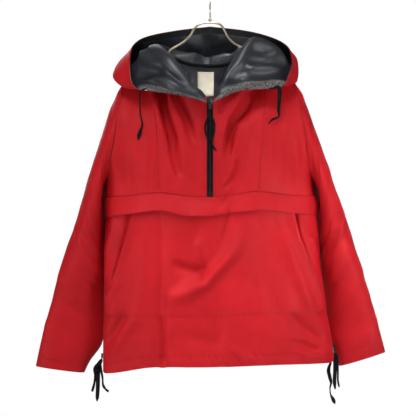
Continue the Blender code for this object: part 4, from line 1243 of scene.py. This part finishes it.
def detail_back(grid, normals):
    x, z = grid[..., 0], grid[..., 2]
    height = fold_height(x, z, BACK_CREASES) + unevenness(x, z, "back")
    height += pucker(z - z[ROWS["casing"]], x, BACK_PUCKER)
    return raised(grid, normals, height, (0, 6), (4, 4))


def detail_sleeve(side, grid, normals):
    rings, count = grid.shape[:2]
    share = np.linspace(0, 1, rings)[:, None]
    turn = (360 * np.arange(count) / count)[None, :]
    height = round_folds(turn, share, SLEEVE_CREASES[side], SLEEVE_SLANT)
    height += unevenness(turn * SLEEVE_CLOTH[0], share * SLEEVE_CLOTH[1], side)
    grid = raised(grid, normals, height, (6, 0))
    off_y, off_z = ((grid[..., axis] - at) / reach
                    for axis, at, reach in zip((1, 2), PRESSED_AT, PRESSED_REACH))
    near_body = np.exp(-off_z ** 4 - off_y ** 2) * (np.abs(grid[..., 0]) < PRESSED_EDGE)
    grid[..., 0] -= SIDES[side] * PRESSED * near_body * edge_fade(height.shape, (4, 0))
    return grid


def spread_out(values, times):
    """Even out the values of a grid inside its edges."""
    values = values.copy()
    for _ in range(times):
        inside = values[1:-1, 1:-1]
        around = values[:-2, 1:-1] + values[2:, 1:-1] + values[1:-1, :-2] + values[1:-1, 2:]
        inside += 0.15 * (around - 4 * inside)
    return values


def detail_lining(grid, normals):
    """Creases lift the lining towards the inside, where it faces forward."""
    x, z = grid[..., 0], grid[..., 2]
    facing = ease(np.clip((normals[..., 1] - 0.1) * 2, 0, 1))
    edge, reach = LINING_EDGE
    facing = spread_out(facing * np.clip((edge - np.abs(x)) / reach, 0.1, 1), 12)
    height = LINING_STANDS + LINING_FOLD * fold_height(x, z, LINING_CREASES)
    height = (height + unevenness(x, z, "lining")) * facing + 0.8
    height = LINING_MOST * np.tanh(height / LINING_MOST)
    return spread_out(raised(grid, -normals, np.maximum(height, 0), (6, 3), (3, 3)), 3)


def pocket_mouths(shape):
    """How far the front sinks at the slanted openings of the pocket."""
    rows, columns = np.indices(shape)
    foot, top = ROWS["pocket_foot"], ROWS["flap_top"]
    up = np.clip((rows - foot) / (top - foot), 0, 1)
    inside = np.minimum(columns - COLUMNS["pocket"], mirrored("pocket") - columns)
    return (POCKET_SINKS * np.exp(-((inside + 0.7) / 1.2) ** 2)
            * np.abs(np.sin(math.pi * up)) ** 0.5)


def pocket_stands(across, down):
    """How far the pocket puffs in the middle and gapes at its openings."""
    puff = POCKET_PUFF * (1 - across ** 2) * np.sin(math.pi * np.clip(down * 1.15, 0, 1))
    gape = np.where(across < 0, *POCKET_GAPES) * np.exp(-((1 - np.abs(across)) / 0.07) ** 2)
    return puff + gape * np.sin(math.pi * down) ** 0.7


def flap_stands(x, across, down):
    """How far the flap stands off the front, most at its loose lower edge."""
    pinned = COLUMNS["pocket"] / COLUMNS["centre"]
    inside = np.clip((1 - np.abs(across)) / pinned, 0, 1)
    loose = np.interp(x, *zip(*FLAP_STANDS)) * (1 - down) ** 1.6
    return (FLAP_CLEAR + loose) * inside + FLAP_BULGE * np.sin(math.pi * down)


def make_front(grid, normals):
    def cut(rows, columns):
        part = np.s_[rows[0]:rows[1] + 1, columns[0]:columns[1] + 1]
        return grid[part], normals[part]

    def show(name, panel, ways, **sizes):
        shell(name + "_panel", [name], panel, ways, 1, RED_CLOTH, **sizes)

    foot, top = ROWS["flap_top"], ROWS["top"]
    marks = (0, COLUMNS["princess"], COLUMNS["zip"], mirrored("zip"), mirrored("princess"),
             COLUMNS["last"])
    for name, k in (("front_side_left", 0), ("front_centre_left", 1), ("front_centre_right", 3),
                    ("front_side_right", 4)):
        show(name, *cut((foot, top), marks[k:k + 2]))
    shell("zip_tape_strip", ["zip_tape"], *cut((foot, top), marks[2:4]), 1, ZIP_TAPE, depth=0.5,
          edges="b")
    lower, ways = cut((0, foot), (0, COLUMNS["last"]))
    show("front_lower", lower - ways * pocket_mouths(lower.shape[:2])[..., None], ways)
    seams = [("front_stitches", "front_lower",
              lines_beside(grid[foot:], normals[foot:], *STITCH_LINES["uppers"])
              + lines_beside(grid, normals, *STITCH_LINES["hem"]))]
    for name, part, start, columns in (
            ("kangaroo_pocket", "pocket", "pocket_foot", (COLUMNS["pocket"], mirrored("pocket"))),
            ("storm_flap", "flap", "flap_foot", (0, COLUMNS["last"]))):
        panel, ways = cut((ROWS[start], foot), columns)
        across = np.linspace(-1, 1, panel.shape[1])[None, :]
        down = np.linspace(0, 1, panel.shape[0])[:, None]
        stands = (pocket_stands(across, down) if part == "pocket"
                  else flap_stands(panel[..., 0], across, down))
        panel = panel + ways * stands[..., None]
        show(name, panel, ways, depth=-LAID_OVER)
        seams.append((part + "_stitches", name,
                      lines_beside(panel + ways * LAID_OVER, ways, *STITCH_LINES[part])))
    for name, slot, lines in seams:
        sew(name, slot, lines, RED_THREAD)


def make_back(grid, normals):
    shell("back_panel", ["back"], grid, normals, -1, RED_CLOTH)
    part = np.s_[-NECK_LINING_ROWS * FINE - 1:, COLUMNS["neck"]:mirrored("neck") + 1]
    shell("back_neck_lining_panel", ["back_neck_lining"], grid[part], normals[part], -1,
          LINING_CLOTH, wall=LINING_SHELL, depth=LINING_DEPTH)
    sew("back_stitches", "back", lines_beside(grid, normals, *STITCH_LINES["hem"]), RED_THREAD)


def between(values, rows):
    """Values of a grid at places between its rows, which differ by column."""
    low = np.clip(rows.astype(int), 0, len(values) - 2)
    columns, rest = np.arange(values.shape[1])[None, :], (rows - low)[..., None]
    return values[low, columns] * (1 - rest) + values[low + 1, columns] * rest


def make_label(grid, normals):
    """A bare label on the lining of the back, sewn along its upper and lower ends."""
    def pick(values):
        for marks in (LABEL_ROWS, LABEL_COLUMNS):
            lines = np.linspace(*marks)[:, None] * FINE + np.zeros(values.shape[1])
            values = between(values, lines).swapaxes(0, 1)
        return values

    patch, ways = pick(grid), pick(normals)
    shell("neck_label_patch", ["neck_label"], patch, ways, -1, LABEL_CLOTH, wall=LABEL_WALL,
          depth=LABEL_DEPTH, edges="")
    inner = patch - ways * (LABEL_DEPTH + LABEL_WALL + 0.1 - STITCH["lift"])
    sew("label_stitches", "neck_label", lines_beside(inner, -ways, *STITCH_LINES["label"]),
        DARK_THREAD)


def make_sleeve(side, front, back):
    grid = sleeve_grid(side, front, back)
    normals = grid_normals(grid, SIDES[side], closed=True)
    grid = detail_sleeve(side, grid, normals)
    name = "sleeve_" + side
    shell(name + "_panel", [name], grid, normals, SIDES[side], RED_CLOTH, edges="bt", closed=True)
    round_again = [np.concatenate([values, values[:, :1]], axis=1) for values in (grid, normals)]
    sew(name + "_stitches", name, lines_beside(*round_again, *STITCH_LINES["sleeve"]),
        RED_THREAD)


def make_hood(side, front, back):
    sign = SIDES[side]
    grid = hood_grid(side, neck_line(side, front, back))
    normals = grid_normals(grid, sign)
    facing, last = len(HOOD_MARKS) * FINE, len(grid) - 1
    shell(f"hood_{side}_shell", ["hood_" + side], grid, normals, sign, RED_CLOTH)
    lining = detail_lining(grid[:facing + 1], normals[:facing + 1])
    inner = np.concatenate([lining, grid[facing + 1:]])
    meet = np.interp(np.arange(grid.shape[1]) / FINE, *zip(*FACING_FROM[side])) * FINE
    for name, node, first, final, count, finish in (
            ("lining_panel", "hood_lining_", 0 * meet, meet, facing + 1, LINING_CLOTH),
            ("facing_band", "hood_facing_", meet, 0 * meet + last, last - facing + 7,
             FACING_CLOTH)):
        rows = np.linspace(first, final, count)
        shell(f"hood_{side}_{name}", [node + side], between(inner, rows), between(normals, rows),
              sign, finish, wall=LINING_SHELL, depth=LINING_DEPTH)
    sew(f"hood_{side}_stitches", "hood_" + side,
        lines_beside(grid, normals, *STITCH_LINES["hood"]), RED_THREAD)
    return grid, normals


# The tape on the neck's seam: how far its lines lie from the seam, its wall and depth
TAPE_LINES = (5.5, 2.2)
TAPE_WALL = 0.8
TAPE_DEPTH = 3.4


def make_neck_tape_and_shadow(back, back_normals, hoods):
    """A dark tape over the seam of hood and back, on the inside; its black is partly the tape's
    own and partly a painted shadow line along the neck seam.
    """
    first = COLUMNS["zip"] - COLUMNS["neck"]
    hood, ways = (np.concatenate([left[:3, first:], right[:3, -2:first - 1:-1]], axis=1)
                  for left, right in zip(hoods["left"], hoods["right"]))
    seam, over = hood[0], unit(hood[2] - hood[0])
    span = slice(COLUMNS["neck"], COLUMNS["neck"] + len(seam))
    down = unit(back[-3, span] - seam)
    way = unit(unit(ways[0] + ways[2]) + back_normals[-2, span])
    wide, near = TAPE_LINES
    grid = np.array([seam + down * wide, seam + down * near, seam + over * near,
                     seam + over * wide])
    # painted shadow: the tape's black also stands in for the shadow along the neck seam
    shell("neck_seam_tape_painted_shadow", ["back_neck_lining"], grid, np.array([way] * 4), -1, CORD_TAPE,
          wall=TAPE_WALL, depth=TAPE_DEPTH, edges="")


# The zip's teeth: where they start and how far short they stop, their pitch, and the sections
# of one: reach to its side, height and half length
TEETH_FROM = 8.0
TEETH_SHORT = 3.0
TEETH_PITCH = 1.25
TOOTH = ((-0.5, 0.9, 0.45), (0.6, 1.25, 0.62), (2.2, 0.95, 0.4))


def make_zip_teeth(grid, normals):
    """Two rows of moulded teeth that mesh down the middle of the strip."""
    rows = slice(ROWS["flap_top"], ROWS["top"] + 1)
    line, ways = grid[rows, COLUMNS["centre"]], normals[rows, COLUMNS["centre"]]
    run = run_of(line)
    places, faces = [], []
    for k, at in enumerate(np.arange(TEETH_FROM, run[-1] - TEETH_SHORT, TEETH_PITCH)):
        middle, up = read_along(at, run, line), read_along(at, run, ways)
        ahead = unit(read_along(at + 0.5, run, line) - middle)
        side = np.cross(ahead, up) * (1 if k % 2 else -1)
        tooth = tube(len(TOOTH), 4, len(places))
        faces += tooth if k % 2 else [face[::-1] for face in tooth]
        for reach, tall, long in TOOTH:
            for step, rise in ((-long, -0.3), (-long * 0.8, tall), (long * 0.8, tall),
                               (long, -0.3)):
                places.append(middle + side * reach + ahead * step + up * rise)
    add_piece("zip_teeth", make_mesh("zip_teeth", places, faces), BLACK_MOULDING, "zip_tape")


def dress_fittings():
    """Better finishes on the solids that show as they are."""
    for finish, *names in (
            (STEEL, "hood_eyelet_left", "hood_eyelet_right"),
            (GUNMETAL, "zip_slider", "zip_stop"),
            (BRASS, "hanger_frame", "hanger_hook"),
            (BLACK_MOULDING, "hem_toggle_left", "hem_slider_right")):
        for name in names:
            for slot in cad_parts[name].material_slots:
                slot.material = finish


# ---------------------------------------------------------------- studio

ROOM_LIGHT = 0.12
FLOOR = -1.75
FLOOR_HALF = 8
# Soft lamps: name, place and aim in metres, size, spread in degrees and power
SOFT_LAMPS = (
    ("front", (-2.2, -3.7, 1.2), (0, 0, -0.45), 0.9, 180, 14),
    ("top", (-0.3, -2.5, 3.3), (0, 0, -0.45), 1.3, 180, 95),
    ("low", (-1.5, -2.6, 1.5), (0.02, 0, -0.72), 0.35, 8, 0.23),
    ("neck", (0.10, -2.3, 1.35), (0, 0.02, -0.14), 0.12, 6, 0.125),
    ("left", (-3.2, -2.2, -0.6), (0, 0, -0.45), 1.0, 180, 32),
    ("right", (3.3, -2.2, -0.4), (0, 0, -0.45), 1.0, 180, 32),
    ("sleeve", (2.2, -2.6, -0.6), (0.36, 0, -0.5), 0.5, 9, 0.58),
    ("back", (-0.8, 3.4, 0.8), (0, 0, -0.45), 1.8, 180, 50),
)


def make_studio():
    """Pale floor below, and soft light from the front, above and both sides."""
    floor = bpy.data.meshes.new("floor")
    corners = [(a * FLOOR_HALF, b * FLOOR_HALF, FLOOR)
               for a, b in ((-1, -1), (1, -1), (1, 1), (-1, 1))]
    floor.from_pydata(corners, [], [(0, 1, 2, 3)])
    floor.materials.append(Finish("pale_floor", (0.86, 0.86, 0.86), 0.8).material)
    put("floor", floor)
    world = bpy.data.worlds.new("studio")
    world.use_nodes = True
    tree = world.node_tree
    room, backdrop = tree.nodes["Background"], tree.nodes.new("ShaderNodeBackground")
    seen, mix = tree.nodes.new("ShaderNodeLightPath"), tree.nodes.new("ShaderNodeMixShader")
    tree.links.new(seen.outputs["Is Camera Ray"], mix.inputs[0])
    for slot, light, strength in ((1, room, ROOM_LIGHT), (2, backdrop, 1.0)):
        light.inputs[0].default_value = (1, 1, 1, 1)
        light.inputs[1].default_value = strength
        tree.links.new(light.outputs[0], mix.inputs[slot])
    tree.links.new(mix.outputs[0], tree.nodes["World Output"].inputs[0])
    bpy.context.scene.world = world
    bpy.context.scene.view_settings.view_transform = "Standard"
    for name, place, aim, size, spread, power in SOFT_LAMPS:
        lamp = bpy.data.lights.new(name, "AREA")
        lamp.size, lamp.spread, lamp.energy = size, math.radians(spread), power
        holder = put(name, lamp)
        holder.location = place
        holder.rotation_euler = (Vector(aim) - Vector(place)).to_track_quat("-Z", "Y").to_euler()


def main():
    set_camera()
    make_cords()
    front, back = (soften_underarm(body_grid(face)) for face in ("front", "back"))
    front_normals, back_normals = grid_normals(front, 1), grid_normals(back, -1)
    front, back = detail_front(front, front_normals), detail_back(back, back_normals)
    make_front(front, front_normals)
    make_back(back, back_normals)
    make_label(back, back_normals)
    make_zip_teeth(front, front_normals)
    hoods = {}
    for side in SIDES:
        make_sleeve(side, front, back)
        hoods[side] = make_hood(side, front, back)
    make_neck_tape_and_shadow(back, back_normals, hoods)
    dress_fittings()
    make_studio()


main()
